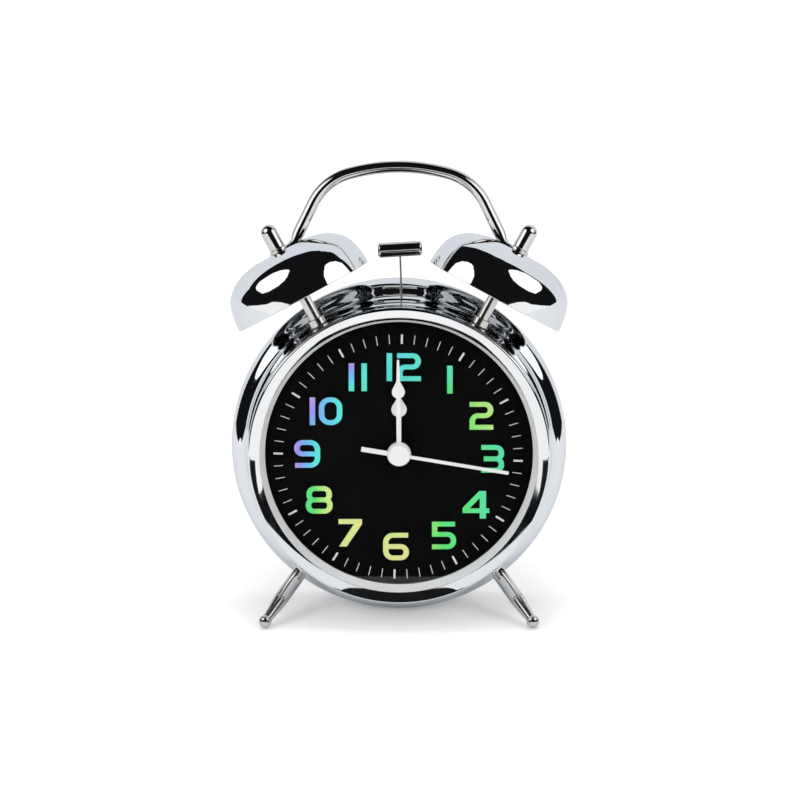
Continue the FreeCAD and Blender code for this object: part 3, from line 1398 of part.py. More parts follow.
leaf_back = "(%s + 0.1)" % tray_left
leaf_inner = "(%s + leaf_thickness)" % leaf_back
leaf_tip = "(-cell_length / 2 - 0.15)"
leaf_low = "(cell_height - leaf_half_height)"
leaf_high = "(cell_height + leaf_half_height)"
leaf_touch = "(cell_height - leaf_half_height * leaf_touch_share)"
toe_across = "(%s + leaf_room * 0.4)" % leaf_back
toe_up = "(cell_height - leaf_half_height * leaf_toe_share)"
leaf_outline = [
    (leaf_back, leaf_low),
    (leaf_inner, leaf_low),
    (leaf_inner, "cell_height + leaf_half_height * leaf_top_share"),
    (leaf_tip + " - leaf_thickness", leaf_touch),
    (toe_across, toe_up),
    (toe_across + " + leaf_thickness * 0.9", toe_up + " - leaf_thickness * 0.6"),
    (leaf_tip, leaf_touch),
    (leaf_inner + " + leaf_thickness / 2", leaf_high),
    (leaf_back, leaf_high),
]
piece("battery_spring", plate("BatterySpring", cell_depth + " - leaf_half_width", "2 * leaf_half_width",
                              outline=leaf_outline))

door_plate = block("DoorPlate",
                   (tray_left + " + door_gap", door_front, tray_low + " + door_gap"),
                   (tray_right + " - door_gap", cover_back, tray_high + " - door_gap"))
first_rib = "(cell_height - ((rib_count - 1) * rib_pitch + rib_width) / 2)"
ribs = []
for index in range(int(num("rib_count"))):
    low = "(%s + %d * rib_pitch)" % (first_rib, index)
    ribs.append(block("DoorRib%d" % index,
                      ("-rib_half_length", cover_back + " - 0.1", low),
                      ("rib_half_length", cover_back + " + rib_height", low + " + rib_width")))
piece("battery_door", fuse("BatteryDoor", door_plate, *ribs))

# Stand the clock up. It leans back by the angle that puts the feet's balls and the rear edge's
# round on one floor; then it is moved so that its box's middle and floor are the origin.

doc.recompute()
ball = foot_place(1).Base + foot_reach
edge_radius = num(edge_r)
drop = ball.z + edge_radius
run = num(edge_d) - ball.y
sunk = num("foot_ball_radius - rear_edge_round")
lean_angle = math.asin(sunk / math.hypot(drop, run)) - math.atan2(drop, run)
lean = Placement(Vector(), Rotation(Vector(1, 0, 0), -math.degrees(lean_angle)))

for thing, place in pieces.values():
    thing.Placement = lean * place
doc.recompute()
whole = FreeCAD.BoundBox()
for thing, place in pieces.values():
    whole.add(thing.Shape.optimalBoundingBox())
shift = Vector(-whole.Center.x, -whole.Center.y, -whole.ZMin)
stand = Placement(shift, lean.Rotation)
for thing, place in pieces.values():
    thing.Placement = stand * place
doc.recompute()

broken = [thing.Name for thing in doc.Objects if "Invalid" in thing.State or "Error" in thing.State]
for label, (thing, place) in pieces.items():
    if thing.Shape.isNull() or not thing.Shape.isValid() or not thing.Shape.Solids:
        broken.append(label)
if broken:
    raise SystemExit("failed pieces: " + ", ".join(broken))

os.makedirs("parts", exist_ok=True)
for label, (thing, place) in pieces.items():
    thing.Shape.exportStep("parts/%s.step" % label)

print("lean %.4f degrees, moved by %.4f %.4f %.4f" % (math.degrees(lean_angle), shift.x, shift.y, shift.z))
print("size %.2f x %.2f x %.2f" % (whole.XLength, whole.YLength, whole.ZLength))
print("%d pieces" % len(pieces))
hammer_axis = (num("hammer_side"), num(pivot_height))
for name, axis in (("centre", centre), ("minute wheel", minute_axis), ("time knob", time_axis),
                   ("alarm knob", alarm_axis), ("third wheel", third_axis),
                   ("intermediate wheel", inter_axis), ("rotor", rotor_axis), ("crank", crank_axis),
                   ("motor", motor_axis), ("hammer", hammer_axis)):
    spot = stand.multVec(Vector(axis[0], num("movement_front"), axis[1]))
    print("%s axis at %.4f %.4f %.4f" % (name, spot.x, spot.y, spot.z))
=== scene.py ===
import json
import math

import bmesh
import bpy
from mathutils import Matrix, Vector


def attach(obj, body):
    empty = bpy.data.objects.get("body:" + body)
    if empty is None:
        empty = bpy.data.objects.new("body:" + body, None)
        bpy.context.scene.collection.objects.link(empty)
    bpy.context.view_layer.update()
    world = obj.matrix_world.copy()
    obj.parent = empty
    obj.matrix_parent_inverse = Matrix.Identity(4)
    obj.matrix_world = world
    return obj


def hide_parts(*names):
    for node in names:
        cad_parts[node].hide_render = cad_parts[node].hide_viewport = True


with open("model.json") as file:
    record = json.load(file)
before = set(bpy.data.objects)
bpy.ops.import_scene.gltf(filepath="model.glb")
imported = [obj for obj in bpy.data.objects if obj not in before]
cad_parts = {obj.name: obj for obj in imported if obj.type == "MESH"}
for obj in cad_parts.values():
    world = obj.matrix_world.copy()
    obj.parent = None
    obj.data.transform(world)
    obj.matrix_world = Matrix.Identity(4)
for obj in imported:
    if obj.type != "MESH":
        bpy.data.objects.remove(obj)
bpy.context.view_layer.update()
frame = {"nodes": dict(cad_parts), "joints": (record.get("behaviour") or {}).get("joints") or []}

# Twin bell alarm clock. Angles are in degrees, the pieces' sizes in millimetres, the studio's in metres.
# Clock frame: X right, Y depth into the clock with the bezel's front at -4.4, Z up from the dial's axis.

mm = 0.001
tiny = 1e-9
bothSides = (("left", -1), ("right", 1))
scene = bpy.context.scene
scene.view_settings.view_transform = "Standard"


def stageNote(text):
    print("clock:", text)


def placeOf(across, depth, up, base):
    # A place whose X, Y and Z run along the three directions.
    return Matrix([*zip(across, depth, up, base), (0, 0, 0, 1)])


# The second hand's joint lies on the dial's axis, this far behind the clock frame's zero.
jointDepth = 5.2
dialJoint = next(joint for joint in frame["joints"] if joint["name"] == "second_hand_turn")
depthAxis = Vector(dialJoint["axis"])
upAxis = Vector((1, 0, 0)).cross(depthAxis)
clockOrigin = Vector(dialJoint["pos_m"]) - depthAxis * jointDepth * mm
clockPlace = placeOf((1, 0, 0), depthAxis, upAxis, clockOrigin) @ Matrix.Scale(mm, 4)


def setUp(node, **settings):
    # Sets a node's sockets by name, a space written as an underscore, and else its properties.
    for key, value in settings.items():
        socket = key.replace("_", " ")
        if socket in node.inputs:
            node.inputs[socket].default_value = value
        else:
            setattr(node, key, value)
    return node


def addNode(tree, kind, **settings):
    return setUp(tree.nodes.new(kind), **settings)


def feed(node, **sources):
    # Links sources to a node's inputs by name, and gives its first output.
    for key, source in sources.items():
        node.id_data.links.new(source, node.inputs[key.replace("_", " ")])
    return node.outputs[0]


def feedInOrder(node, *values):
    # Gives a node's inputs their values in turn: a number is set, a socket is linked.
    for socket, value in zip(node.inputs, values):
        if isinstance(value, (int, float)):
            socket.default_value = value
        else:
            node.id_data.links.new(value, socket)
    return node.outputs[0]


def calc(operation, *values):
    return feedInOrder(addNode(values[0].id_data, "ShaderNodeMath", operation=operation), *values)


def mixShader(share, low, high):
    return feedInOrder(addNode(share.id_data, "ShaderNodeMixShader"), share, low, high)


def mixColour(share, low, high):
    mix = addNode(share.id_data, "ShaderNodeMix", data_type="RGBA")
    for index, source in ((0, share), (6, low), (7, high)):
        share.id_data.links.new(source, mix.inputs[index])
    return mix.outputs[2]


def show(surface):
    tree = surface.id_data
    tree.links.new(surface, tree.nodes["Material Output"].inputs["Surface"])


def newMaterial(name, **settings):
    material = bpy.data.materials.new(name)
    material.use_nodes = True
    tree = material.node_tree
    return material, tree, setUp(tree.nodes["Principled BSDF"], **settings)


def noise(tree, scale, detail, stretch=(1, 1, 1)):
    place = addNode(tree, "ShaderNodeTexCoord").outputs["Object"]
    mapped = feed(addNode(tree, "ShaderNodeMapping", Scale=stretch), Vector=place)
    return feed(addNode(tree, "ShaderNodeTexNoise", Scale=scale, Detail=detail), Vector=mapped)


def spread(source, low, high):
    # The middle of a noise's range, stretched to run from low to high.
    span = {"From_Min": 0.35, "From_Max": 0.65, "To_Min": low, "To_Max": high}
    return feed(addNode(source.id_data, "ShaderNodeMapRange", **span), Value=source)


def ramp(source, stops):
    # The colour that a source meets on the run through its stops: position, colour.
    node = addNode(source.id_data, "ShaderNodeValToRGB")
    elements = node.color_ramp.elements
    for element, (position, colour) in zip(elements, (stops[0], stops[-1])):
        element.position, element.color = position, (*colour, 1)
    for position, colour in stops[1:-1]:
        elements.new(position).color = (*colour, 1)
    return feed(node, Fac=source)


def tint(source, dark, light):
    return ramp(source, [(0.3, dark), (0.7, light)])


def addBump(shader, source, strength, distance):
    bump = addNode(source.id_data, "ShaderNodeBump", Strength=strength, Distance=distance)
    feed(shader, Normal=feed(bump, Height=source))


def platedMetal(name, dark, light, lowRough, highRough, ripple):
    # Ripple is the depth in metres of the plating's slight waves.
    material, tree, shader = newMaterial(name, Metallic=1.0)
    feed(shader, Base_Color=tint(noise(tree, 38, 4), dark, light),
         Roughness=spread(noise(tree, 90, 5), lowRough, highRough))
    addBump(shader, noise(tree, 60, 2), 1.0, ripple)
    return material


def turnedMetal(name, dark, light, rough, scale, stretch=(1, 1, 1)):
    material, tree, shader = newMaterial(name, Metallic=1.0)
    grain = noise(tree, scale, 4, stretch)
    feed(shader, Base_Color=tint(grain, dark, light),
         Roughness=spread(grain, rough * 0.8, rough * 1.25))
    addBump(shader, grain, 0.3, 2e-5)
    return material


def mouldedPlastic(name, dark, light, rough, grainScale, grainDepth, **settings):
    material, tree, shader = newMaterial(name, **settings)
    grain = noise(tree, grainScale, 2)
    feed(shader, Base_Color=tint(noise(tree, 70, 3), dark, light),
         Roughness=spread(grain, rough * 0.9, rough * 1.15))
    addBump(shader, grain, 0.5, grainDepth)
    return material


def makeDialPaint():
    material, tree, shader = newMaterial("dialPaint", Specular_IOR_Level=0.05)
    tooth = noise(tree, 5200, 2)
    feed(shader, Base_Color=tint(noise(tree, 45, 4), (0.0020, 0.0020, 0.0023), (0.0034, 0.0034, 0.0038)),
         Roughness=spread(tooth, 0.42, 0.58))
    addBump(shader, tooth, 0.3, 2e-6)
    return material


def makePrint(name, dark, light):
    material, tree, shader = newMaterial(name, Roughness=0.55)
    fleck = noise(tree, 1500, 3)
    feed(shader, Base_Color=tint(fleck, dark, light))
    addBump(shader, fleck, 0.2, 1e-5)
    return material


foil = {
    "roughness": 0.42, "sparkle": 0.02,
    "hues": [
        (0.00, (0.80, 0.78, 0.30)),   # pale yellow
        (0.14, (0.52, 0.86, 0.22)),   # lime
        (0.30, (0.10, 0.80, 0.16)),   # green
        (0.46, (0.10, 0.82, 0.45)),   # sea green
        (0.60, (0.10, 0.80, 0.78)),   # turquoise
        (0.76, (0.16, 0.52, 0.92)),   # sky blue
        (0.88, (0.35, 0.30, 0.90)),   # blue violet
        (1.00, (0.62, 0.40, 0.90)),   # lavender
    ],
}


def makeShimmerFoil():
    # Iridescent foil: the attribute says where each numeral stands on the run of pastel hues.
    material, tree, shader = newMaterial("shimmerFoil", Roughness=foil["roughness"])
    hue = addNode(tree, "ShaderNodeAttribute", attribute_name="shimmer").outputs["Fac"]
    sparkle = spread(noise(tree, 260, 3), -foil["sparkle"], foil["sparkle"])
    feed(shader, Base_Color=ramp(calc("ADD", hue, sparkle), foil["hues"]))
    return material


def makeLensGlass():
    # Thin clear crystal: lamps shine through it, and it adds a faint clear reflection.
    clearGlass = {"Base_Color": (1, 1, 1, 1), "Transmission_Weight": 1.0, "IOR": 1.49}
    material, tree, shader = newMaterial("lensGlass", **clearGlass)
    surface = feed(shader, Roughness=spread(noise(tree, 30, 3), 0.0, 0.015))
    rays = addNode(tree, "ShaderNodeLightPath").outputs
    clear = addNode(tree, "ShaderNodeBsdfTransparent").outputs[0]
    for ray in ("Is Diffuse Ray", "Is Shadow Ray"):
        surface = mixShader(rays[ray], surface, clear)
    show(surface)
    return material


def makeWinding():
    material, tree, shader = newMaterial("copperWinding", Roughness=0.3)
    place = addNode(tree, "ShaderNodeTexCoord").outputs["Object"]
    wires = addNode(tree, "ShaderNodeTexWave", Scale=900, Distortion=0.6)
    feed(wires, Vector=place)
    feed(shader, Base_Color=tint(wires.outputs["Fac"], (0.32, 0.11, 0.03), (0.68, 0.30, 0.12)))
    addBump(shader, wires.outputs["Fac"], 0.6, 1e-4)
    return material


def makeCellSleeve():
    # Plain cell: a dark sleeve with a copper band at one end, and bare metal at both ends.
    material, tree, shader = newMaterial("cellSleeve", Roughness=0.3)
    place = addNode(tree, "ShaderNodeTexCoord").outputs["Object"]
    along = feed(addNode(tree, "ShaderNodeSeparateXYZ"), Vector=place)
    ends = calc("GREATER_THAN", calc("ABSOLUTE", along), 0.0226)
    band = calc("GREATER_THAN", along, 0.009)
    grain = noise(tree, 400, 3)
    sleeve = tint(grain, (0.03, 0.032, 0.036), (0.05, 0.052, 0.058))
    copper = tint(grain, (0.50, 0.28, 0.10), (0.62, 0.36, 0.14))
    metal = tint(grain, (0.62, 0.62, 0.62), (0.76, 0.76, 0.76))
    feed(shader, Base_Color=mixColour(ends, mixColour(band, sleeve, copper), metal), Metallic=ends)
    return material


mirrorChrome = platedMetal("mirrorChrome", (0.90, 0.915, 0.93), (0.955, 0.965, 0.975), 0.015, 0.05, 1.2e-6)
nickelPlate = platedMetal("nickelPlate", (0.76, 0.74, 0.72), (0.86, 0.845, 0.83), 0.05, 0.11, 2e-6)
satinNickel = platedMetal("satinNickel", (0.70, 0.685, 0.67), (0.80, 0.785, 0.77), 0.15, 0.22, 3e-6)
bellInside = platedMetal("bellInside", (0.50, 0.51, 0.52), (0.58, 0.59, 0.60), 0.07, 0.10, 8e-7)
drawnSteel = turnedMetal("drawnSteel", (0.52, 0.51, 0.50), (0.66, 0.65, 0.64), 0.26, 900, (1, 1, 0.2))
zincSteel = turnedMetal("zincSteel", (0.50, 0.51, 0.52), (0.68, 0.69, 0.70), 0.3, 700)
turnedBrass = turnedMetal("turnedBrass", (0.66, 0.50, 0.25), (0.82, 0.66, 0.38), 0.24, 800)
ferrite = turnedMetal("ferrite", (0.12, 0.12, 0.13), (0.2, 0.2, 0.21), 0.5, 1200)
ringPaint = mouldedPlastic("ringPaint", (0.74, 0.75, 0.765), (0.80, 0.81, 0.825), 0.4, 1500, 4e-6)
casePlastic = mouldedPlastic("casePlastic", (0.012, 0.012, 0.013), (0.022, 0.022, 0.024), 0.42, 3200, 6e-5)
knobPlastic = mouldedPlastic("knobPlastic", (0.014, 0.014, 0.015), (0.024, 0.024, 0.026), 0.34, 2400, 3e-5)
movementPlastic = mouldedPlastic("movementPlastic", (0.07, 0.07, 0.075), (0.12, 0.12, 0.125), 0.35, 1500,
                                 2e-5)
nylon = mouldedPlastic("nylon", (0.80, 0.79, 0.72), (0.88, 0.87, 0.82), 0.4, 1200, 2e-5,
                       Subsurface_Weight=0.2, Subsurface_Scale=0.001)
boardGreen = mouldedPlastic("boardGreen", (0.02, 0.15, 0.06), (0.04, 0.24, 0.10), 0.3, 900, 1e-5)
handEnamel = mouldedPlastic("handEnamel", (0.80, 0.80, 0.795), (0.88, 0.88, 0.875), 0.5, 1800, 1e-5)
whitePrint = makePrint("whitePrint", (0.74, 0.74, 0.735), (0.86, 0.86, 0.85))
greyPrint = makePrint("greyPrint", (0.40, 0.40, 0.395), (0.52, 0.52, 0.51))
dialPaint, shimmerFoil, lensGlass = makeDialPaint(), makeShimmerFoil(), makeLensGlass()
copperWinding, cellSleeve = makeWinding(), makeCellSleeve()
stageNote("materials ready")


def addObject(name, data):
    thing = bpy.data.objects.new(name, data)
    scene.collection.objects.link(thing)
    return thing


def meshPiece(name, mesh, materials, replaced=None, body="case_body"):
    piece = addObject(name, mesh)
    mesh.materials.clear()
    for material in materials if isinstance(materials, list) else [materials]:
        mesh.materials.append(material)
    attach(piece, body)
    if replaced:
        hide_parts(replaced)
    return piece


def outwardMesh(work, name):
    # The work as a plain mesh, with its faces turned outwards.
    bmesh.ops.recalc_face_normals(work, faces=work.faces)
    if work.calc_volume(signed=True) < 0:
        bmesh.ops.reverse_faces(work, faces=work.faces)
    mesh = bpy.data.meshes.new(name)
    work.to_mesh(mesh)
    work.free()
    return mesh


def evaluatedMesh(thing):
    graph = bpy.context.evaluated_depsgraph_get()
    return bpy.data.meshes.new_from_object(thing.evaluated_get(graph))


def joinMeshes(name, meshes):
    work = bmesh.new()
    for mesh in meshes:
        work.from_mesh(mesh)
        bpy.data.meshes.remove(mesh)
    joined = bpy.data.meshes.new(name)
    work.to_mesh(joined)
    work.free()
    return joined


def smoothBelow(mesh, angle):
    mesh.shade_smooth()
    mesh.set_sharp_from_angle(angle=math.radians(angle))


def unit(degrees):
    return Vector((math.cos(math.radians(degrees)), math.sin(math.radians(degrees))))


def mirrored(point):
    return Vector((-point.x, *point[1:]))


def arcPoints(start, stop, radius, steps):
    # The points between start and stop on an arc, which turns left for a positive radius.
    a, b = Vector(start), Vector(stop)
    chord = b - a
    reach = math.sqrt(max(radius ** 2 - (chord.length / 2) ** 2, 0))
    centre = (a + b) / 2 + Vector((-chord.y, chord.x)).normalized() * math.copysign(reach, radius)
    first = math.atan2(a.y - centre.y, a.x - centre.x)
    turn = math.atan2(b.y - centre.y, b.x - centre.x) - first
    if turn * radius < 0:
        turn += math.copysign(2 * math.pi, radius)
    size = abs(radius)
    return [Vector((centre.x + size * math.cos(first + turn * i / steps),
                    centre.y + size * math.sin(first + turn * i / steps))) for i in range(1, steps)]


ease = {"fromAngle": 14, "steps": 4, "mostOfSide": 0.42, "support": 0.25, "mostOfRest": 0.4}


def softOutline(corners, edge, closed=True, perArc=14):
    # A profile of corners, (x, y) or (x, y, radius of the arc that leads there), with its arcs drawn out.
    # A hard corner is eased over the edge's width, with one more point beside each end of the ease.
    points, hard = [], []
    for i, corner in enumerate(corners):
        if len(corner) == 3:
            inner = arcPoints(corners[i - 1][:2], corner[:2], corner[2], perArc)
            points += inner
            hard += [False] * len(inner)
        points.append(Vector(corner[:2]))
        hard.append(True)
    count = len(points)

    def walk(index, step):
        # The ease's end on one side of a corner, the point beside it, and the points passed on the way.
        here, travelled, passed = points[index], 0.0, []
        while True:
            index = (index + step) % count
            there = points[index]
            length = (there - here).length
            if travelled + length >= edge or (hard[index] and travelled + length > 0):
                most = ease["mostOfSide"] if hard[index] else 1.0
                end = here + (there - here) * min((edge - travelled) / max(length, tiny), most)
                rest = there - end
                support = min(ease["support"] * edge / max(rest.length, tiny), ease["mostOfRest"])
                return end, end + rest * support, passed
            travelled += length
            here = there
            passed.append(index)

    skipped, eased = set(), {}
    for i in range(count):
        if not hard[i] or (not closed and i in (0, count - 1)):
            continue
        before = (points[i] - points[i - 1]).normalized()
        after = (points[(i + 1) % count] - points[i]).normalized()
        if before.angle(after) < math.radians(ease["fromAngle"]):
            continue
        near, besideNear, passedBack = walk(i, -1)
        far, besideFar, passedAhead = walk(i, 1)
        skipped.update(passedBack, passedAhead)
        bend = []
        for step in range(ease["steps"] + 1):
            t = step / ease["steps"]
            bend.append(near * (1 - t) ** 2 + points[i] * 2 * t * (1 - t) + far * t ** 2)
        eased[i] = [besideNear, *bend, besideFar]
    return [point for i in range(count) if i not in skipped for point in eased.get(i, [points[i]])]


def turned(corners, place, edge, segments=64, closed=True, perArc=14):
    # Turns a profile of (radius, height) about the place's Z axis. Points at radius 0 are poles.
    whole = clockPlace @ place
    work = bmesh.new()
    rings = []
    for radius, height in softOutline(corners, edge, closed, perArc):
        if radius < 1e-6:
            rings.append([work.verts.new(whole @ Vector((0, 0, height)))])
            continue
        angles = [2 * math.pi * step / segments for step in range(segments)]
        rings.append([work.verts.new(whole @ Vector((radius * math.cos(a), radius * math.sin(a), height)))
                      for a in angles])
    for lower, upper in zip(rings, rings[1:] + rings[:1] if closed else rings[1:]):
        for step in range(segments):
            after = (step + 1) % segments
            around = [lower[step % len(lower)], lower[after % len(lower)],
                      upper[after % len(upper)], upper[step % len(upper)]]
            around = list(dict.fromkeys(around))
            if len(around) > 2:
                work.faces.new(around).smooth = True
    return outwardMesh(work, "turned")


def axisPlace(base, direction):
    # A place in clock millimetres whose Z runs along the direction; Y is as near depth as it can be.
    along = Vector(direction).normalized()
    depth = Vector((0, 1, 0)) - along * along.y
    depth.normalize()
    return placeOf(depth.cross(along), depth, along, base)


def cutBlock(piece, low, high):
    # Subtracts a block, given by two opposite corners in clock millimetres, from a piece for good.
    work = bmesh.new()
    bmesh.ops.create_cube(work, size=1.0)
    for vert in work.verts:
        vert.co = clockPlace @ Vector([(a + b) / 2 + c * (b - a) for a, b, c in zip(low, high, vert.co)])
    cutter = addObject("cutter", outwardMesh(work, "cutter"))
    change = piece.modifiers.new("cut", "BOOLEAN")
    change.operation, change.solver, change.object = "DIFFERENCE", "EXACT", cutter
    cut = evaluatedMesh(piece)
    piece.modifiers.clear()
    piece.data = cut
    bpy.data.objects.remove(cutter)


bezel = {
    "profile": [
        (49.0, -3.7), (49.0, -4.32), (49.08, -4.4, 0.08), (52.35, -4.25), (53.35, -3.2, 1.05), (53.4, 1.5),
        (52.5, 1.5), (52.5, 3.0), (51.6, 3.0), (51.6, 0.0), (49.6, -2.5), (49.6, -3.7),
    ],
    "edge": 0.06,
}
glass = {"profile": [(0, -3.6), (49.5, -3.6), (49.5, -2.6), (0, -2.6)], "edge": 0.15}
ring = {
    "profile": [(49.2, -2.55), (49.55, -2.55), (48.2, 0.9), (51.4, 0.9), (51.4, 1.5), (47.3, 1.5)],
    "edge": 0.08,
}
case = {
    "outside": [(53.4, 1.6), (54.198, 8.605), (56.419, 11.993, -4.5), (59.719, 17.709, 6.6),
                (57.258, 32.689, 46.82), (56.121, 33.505, 1.2)],
    "lip": 1.12, "wall": 0.8, "edge": 0.1, "smooth": 38,
    # Two opposite corners of the block that cuts the hammer wire's slot.
    "slot": ((-7.5, 7.4, 40.0), (7.5, 9.0, 64.0)),
}


def wallInside(path, wall):
    # The same path grown inwards, in reverse: each corner moves along its own normal.
    inner = []
    for i, corner in enumerate(path):
        here = Vector(corner[:2])
        if i == 0:
            direction = Vector(path[1][:2]) - here
        elif i == len(path) - 1:
            direction = Vector((-1, 0))
        elif len(corner) == 3:
            direction = here - arcPoints(path[i - 1][:2], corner[:2], corner[2], 60)[-1]
        else:
            direction = here - Vector(path[i - 1][:2])
        direction.normalize()
        inner.append(here + Vector((-direction.y, direction.x)) * wall)
    following = [*path[1:], ()]
    return [(spot.x, spot.y, wall - after[2]) if len(after) == 3 else (spot.x, spot.y)
            for spot, after in reversed(list(zip(inner, following)))]


# Turns a lathe's height into depth.
caseTurn = Matrix(((1, 0, 0, 0), (0, 0, 1, 0), (0, -1, 0, 0), (0, 0, 0, 1)))
bezelMesh = turned(bezel["profile"], caseTurn, bezel["edge"], 400, perArc=20)
meshPiece("chromeBezel", bezelMesh, mirrorChrome, "bezel")
glassMesh = turned(glass["profile"], caseTurn, glass["edge"], 192, closed=False)
meshPiece("crystal", glassMesh, lensGlass, "lens")
meshPiece("dialRing", turned(ring["profile"], caseTurn, ring["edge"], 256), ringPaint, "reflector_ring")

rearRadius, rearDepth = case["outside"][-1][:2]
rearOpening = rearRadius - case["lip"]
caseProfile = case["outside"] + [(rearOpening, rearDepth), (rearOpening, rearDepth - case["wall"])]
caseProfile += wallInside(case["outside"], case["wall"])
caseMesh = turned(caseProfile, caseTurn, case["edge"], 512)
shell = meshPiece("chromeCase", caseMesh, mirrorChrome, "case_shell")
cutBlock(shell, *case["slot"])
smoothBelow(shell.data, case["smooth"])
stageNote("case and bezel turned")


post = {
    "angle": 31.8, "baseRadius": 53.958, "baseDepth": 6.5, "tilt": 28.5, "lean": 8.0,
    "radius": 2.15, "foot": -1.2, "top": 26.7, "studRadius": 1.5, "studTop": 35.0, "edge": 0.2,
    "collarBore": 2.2, "collarRadius": 3.1, "collarTop": 1.9, "collarEdge": 0.25,
}
bell = {
    "base": 10.6, "wall": 1.0, "hole": 1.6, "edge": 0.22, "steps": 12,
    # The dome's outline: radius, height and the way it is heading, in degrees.
    "dome": [(25.85, 0, 91), (24.15, 9.8, 112), (18.9, 15.35, 150), (12.3, 17.7, 168), (4.5, 18.1, 179),
             (1.6, 18.1, 180)],
    # A face is part of the inside if it looks at the axis at this height, and doesn't look along it.
    "heart": 4.0, "alongAxis": 0.2,
}
cap = {"start": 29.9, "radius": 2.9, "length": 9.3, "bore": 1.55, "boreDepth": 5.4, "edge": 0.2}


def domeCurve(stations, steps):
    # A smooth outline through its stations, each with its own heading.
    points = []
    for (r0, h0, a0), (r1, h1, a1) in zip(stations, stations[1:]):
        span = math.hypot(r1 - r0, h1 - h0)
        m0, m1 = unit(a0) * span, unit(a1) * span
        for i in range(steps):
            t = i / steps
            points.append(Vector((r0, h0)) * (2 * t ** 3 - 3 * t ** 2 + 1) + m0 * (t ** 3 - 2 * t ** 2 + t)
                          + Vector((r1, h1)) * (3 * t ** 2 - 2 * t ** 3) + m1 * (t ** 3 - t ** 2))
    points.append(Vector(stations[-1][:2]))
    return points


def bellProfile():
    # Outside up to the hole, and back down the inside, one wall thickness in.
    outer = domeCurve(bell["dome"], bell["steps"])
    inner = []
    for i, here in enumerate(outer):
        ahead = (outer[min(i + 1, len(outer) - 1)] - outer[max(i - 1, 0)]).normalized()
        inner.append(here + Vector((-ahead.y, ahead.x)) * bell["wall"])
    inner[0].y = 0
    inner[-1].x = bell["hole"]
    return [tuple(p) for p in outer + inner[::-1]]


def postPlace(side, height=0.0):
    angle, tilt, lean = (math.radians(post[key]) for key in ("angle", "tilt", "lean"))
    base = Vector((side * post["baseRadius"] * math.sin(angle), post["baseDepth"],
                   post["baseRadius"] * math.cos(angle)))
    direction = (side * math.sin(tilt), math.cos(tilt) * math.sin(lean), math.cos(tilt) * math.cos(lean))
    return axisPlace(base, direction) @ Matrix.Translation((0, 0, height))


def tube(bore, radius, low, high):
    return [(bore, low), (radius, low), (radius, high), (bore, high)]


for word, side in bothSides:
    place = postPlace(side, bell["base"])
    dome = meshPiece("%sBell" % word, turned(bellProfile(), place, bell["edge"], 192),
                     [mirrorChrome, bellInside], "bell_%s" % word)
    heart = clockPlace @ (place @ Vector((0, 0, bell["heart"])))
    axis = (clockPlace @ place @ Vector((0, 0, 1)) - clockPlace @ place @ Vector((0, 0, 0))).normalized()
    for face in dome.data.polygons:
        if face.normal.dot(face.center - heart) < 0 and face.normal.dot(axis) < bell["alongAxis"]:
            face.material_index = 1
    postProfile = [(0, post["foot"]), (post["radius"], post["foot"]), (post["radius"], post["top"]),
                   (post["studRadius"], post["top"]), (post["studRadius"], post["studTop"]),
                   (0, post["studTop"])]
    postMesh = turned(postProfile, postPlace(side), post["edge"], closed=False)
    meshPiece("%sPost" % word, postMesh, satinNickel, "post_%s" % word)


def onBothPosts(profile, height, edge, segments=64):
    return [turned(profile, postPlace(side, height), edge, segments) for word, side in bothSides]


collarProfile = tube(post["collarBore"], post["collarRadius"], post["foot"], post["collarTop"])
collars = joinMeshes("postCollars", onBothPosts(collarProfile, 0, post["collarEdge"]))
meshPiece("postCollars", collars, satinNickel, "post_collars")
capRound = cap["radius"]
capProfile = [(cap["bore"], 0), (capRound, 0), (capRound, cap["length"] - capRound),
              (0, cap["length"], capRound), (0, cap["boreDepth"]), (cap["bore"], cap["boreDepth"])]
caps = joinMeshes("capNuts", onBothPosts(capProfile, cap["start"], cap["edge"]))
meshPiece("capNuts", caps, nickelPlate, "cap_nuts")


handle = {
    "plateStart": 28.65, "plateThickness": 1.2, "plateRadius": 3.5, "hole": 1.6, "plateEdge": 0.25,
    "neckIn": 7.1, "neckUp": 6.2, "neckStart": 3.2, "neckHalfWidth": 2.7, "neckBend": 0.45, "neckSteps": 14,
    # The neck's root lies inside the plate: how far in, and how much narrower and thinner than the neck.
    "rootIn": 1.4, "rootWidth": 0.96, "rootThickness": 0.9,
    "armTilt": 26.0, "rise": 29.4, "cornerRadius": 20.0, "topRadius": 66.0, "lean": 8.0,
    "radius": 2.2, "sides": 40,
}


def handleLine():
    # The rod's middle line in the handle's own plane, from the right neck over the crown to the left one.
    tilt = math.radians(handle["armTilt"])
    corner, crown = handle["cornerRadius"], handle["topRadius"]
    plate = postPlace(1, handle["plateStart"] + handle["plateThickness"] / 2).translation
    neck = Vector((plate.x - handle["neckIn"], handle["neckUp"]))
    along = Vector((-math.sin(tilt), math.cos(tilt)))
    toInside = Vector((-math.cos(tilt), -math.sin(tilt)))
    crownCentre = Vector((0, handle["rise"] - crown))
    offset = neck + toInside * corner - crownCentre
    lead = offset.dot(along)
    run = math.sqrt(lead ** 2 - offset.dot(offset) + (crown - corner) ** 2) - lead
    cornerCentre = neck + toInside * corner + along * run
    last = crownCentre + (cornerCentre - crownCentre) * (crown / (crown - corner))
    half = [neck + along * run * i / 6 for i in range(7)]
    half += arcPoints(neck + along * run, last, corner, 22) + [last]
    return half + arcPoints(last, mirrored(last), crown, 40) + [mirrored(p) for p in reversed(half)]


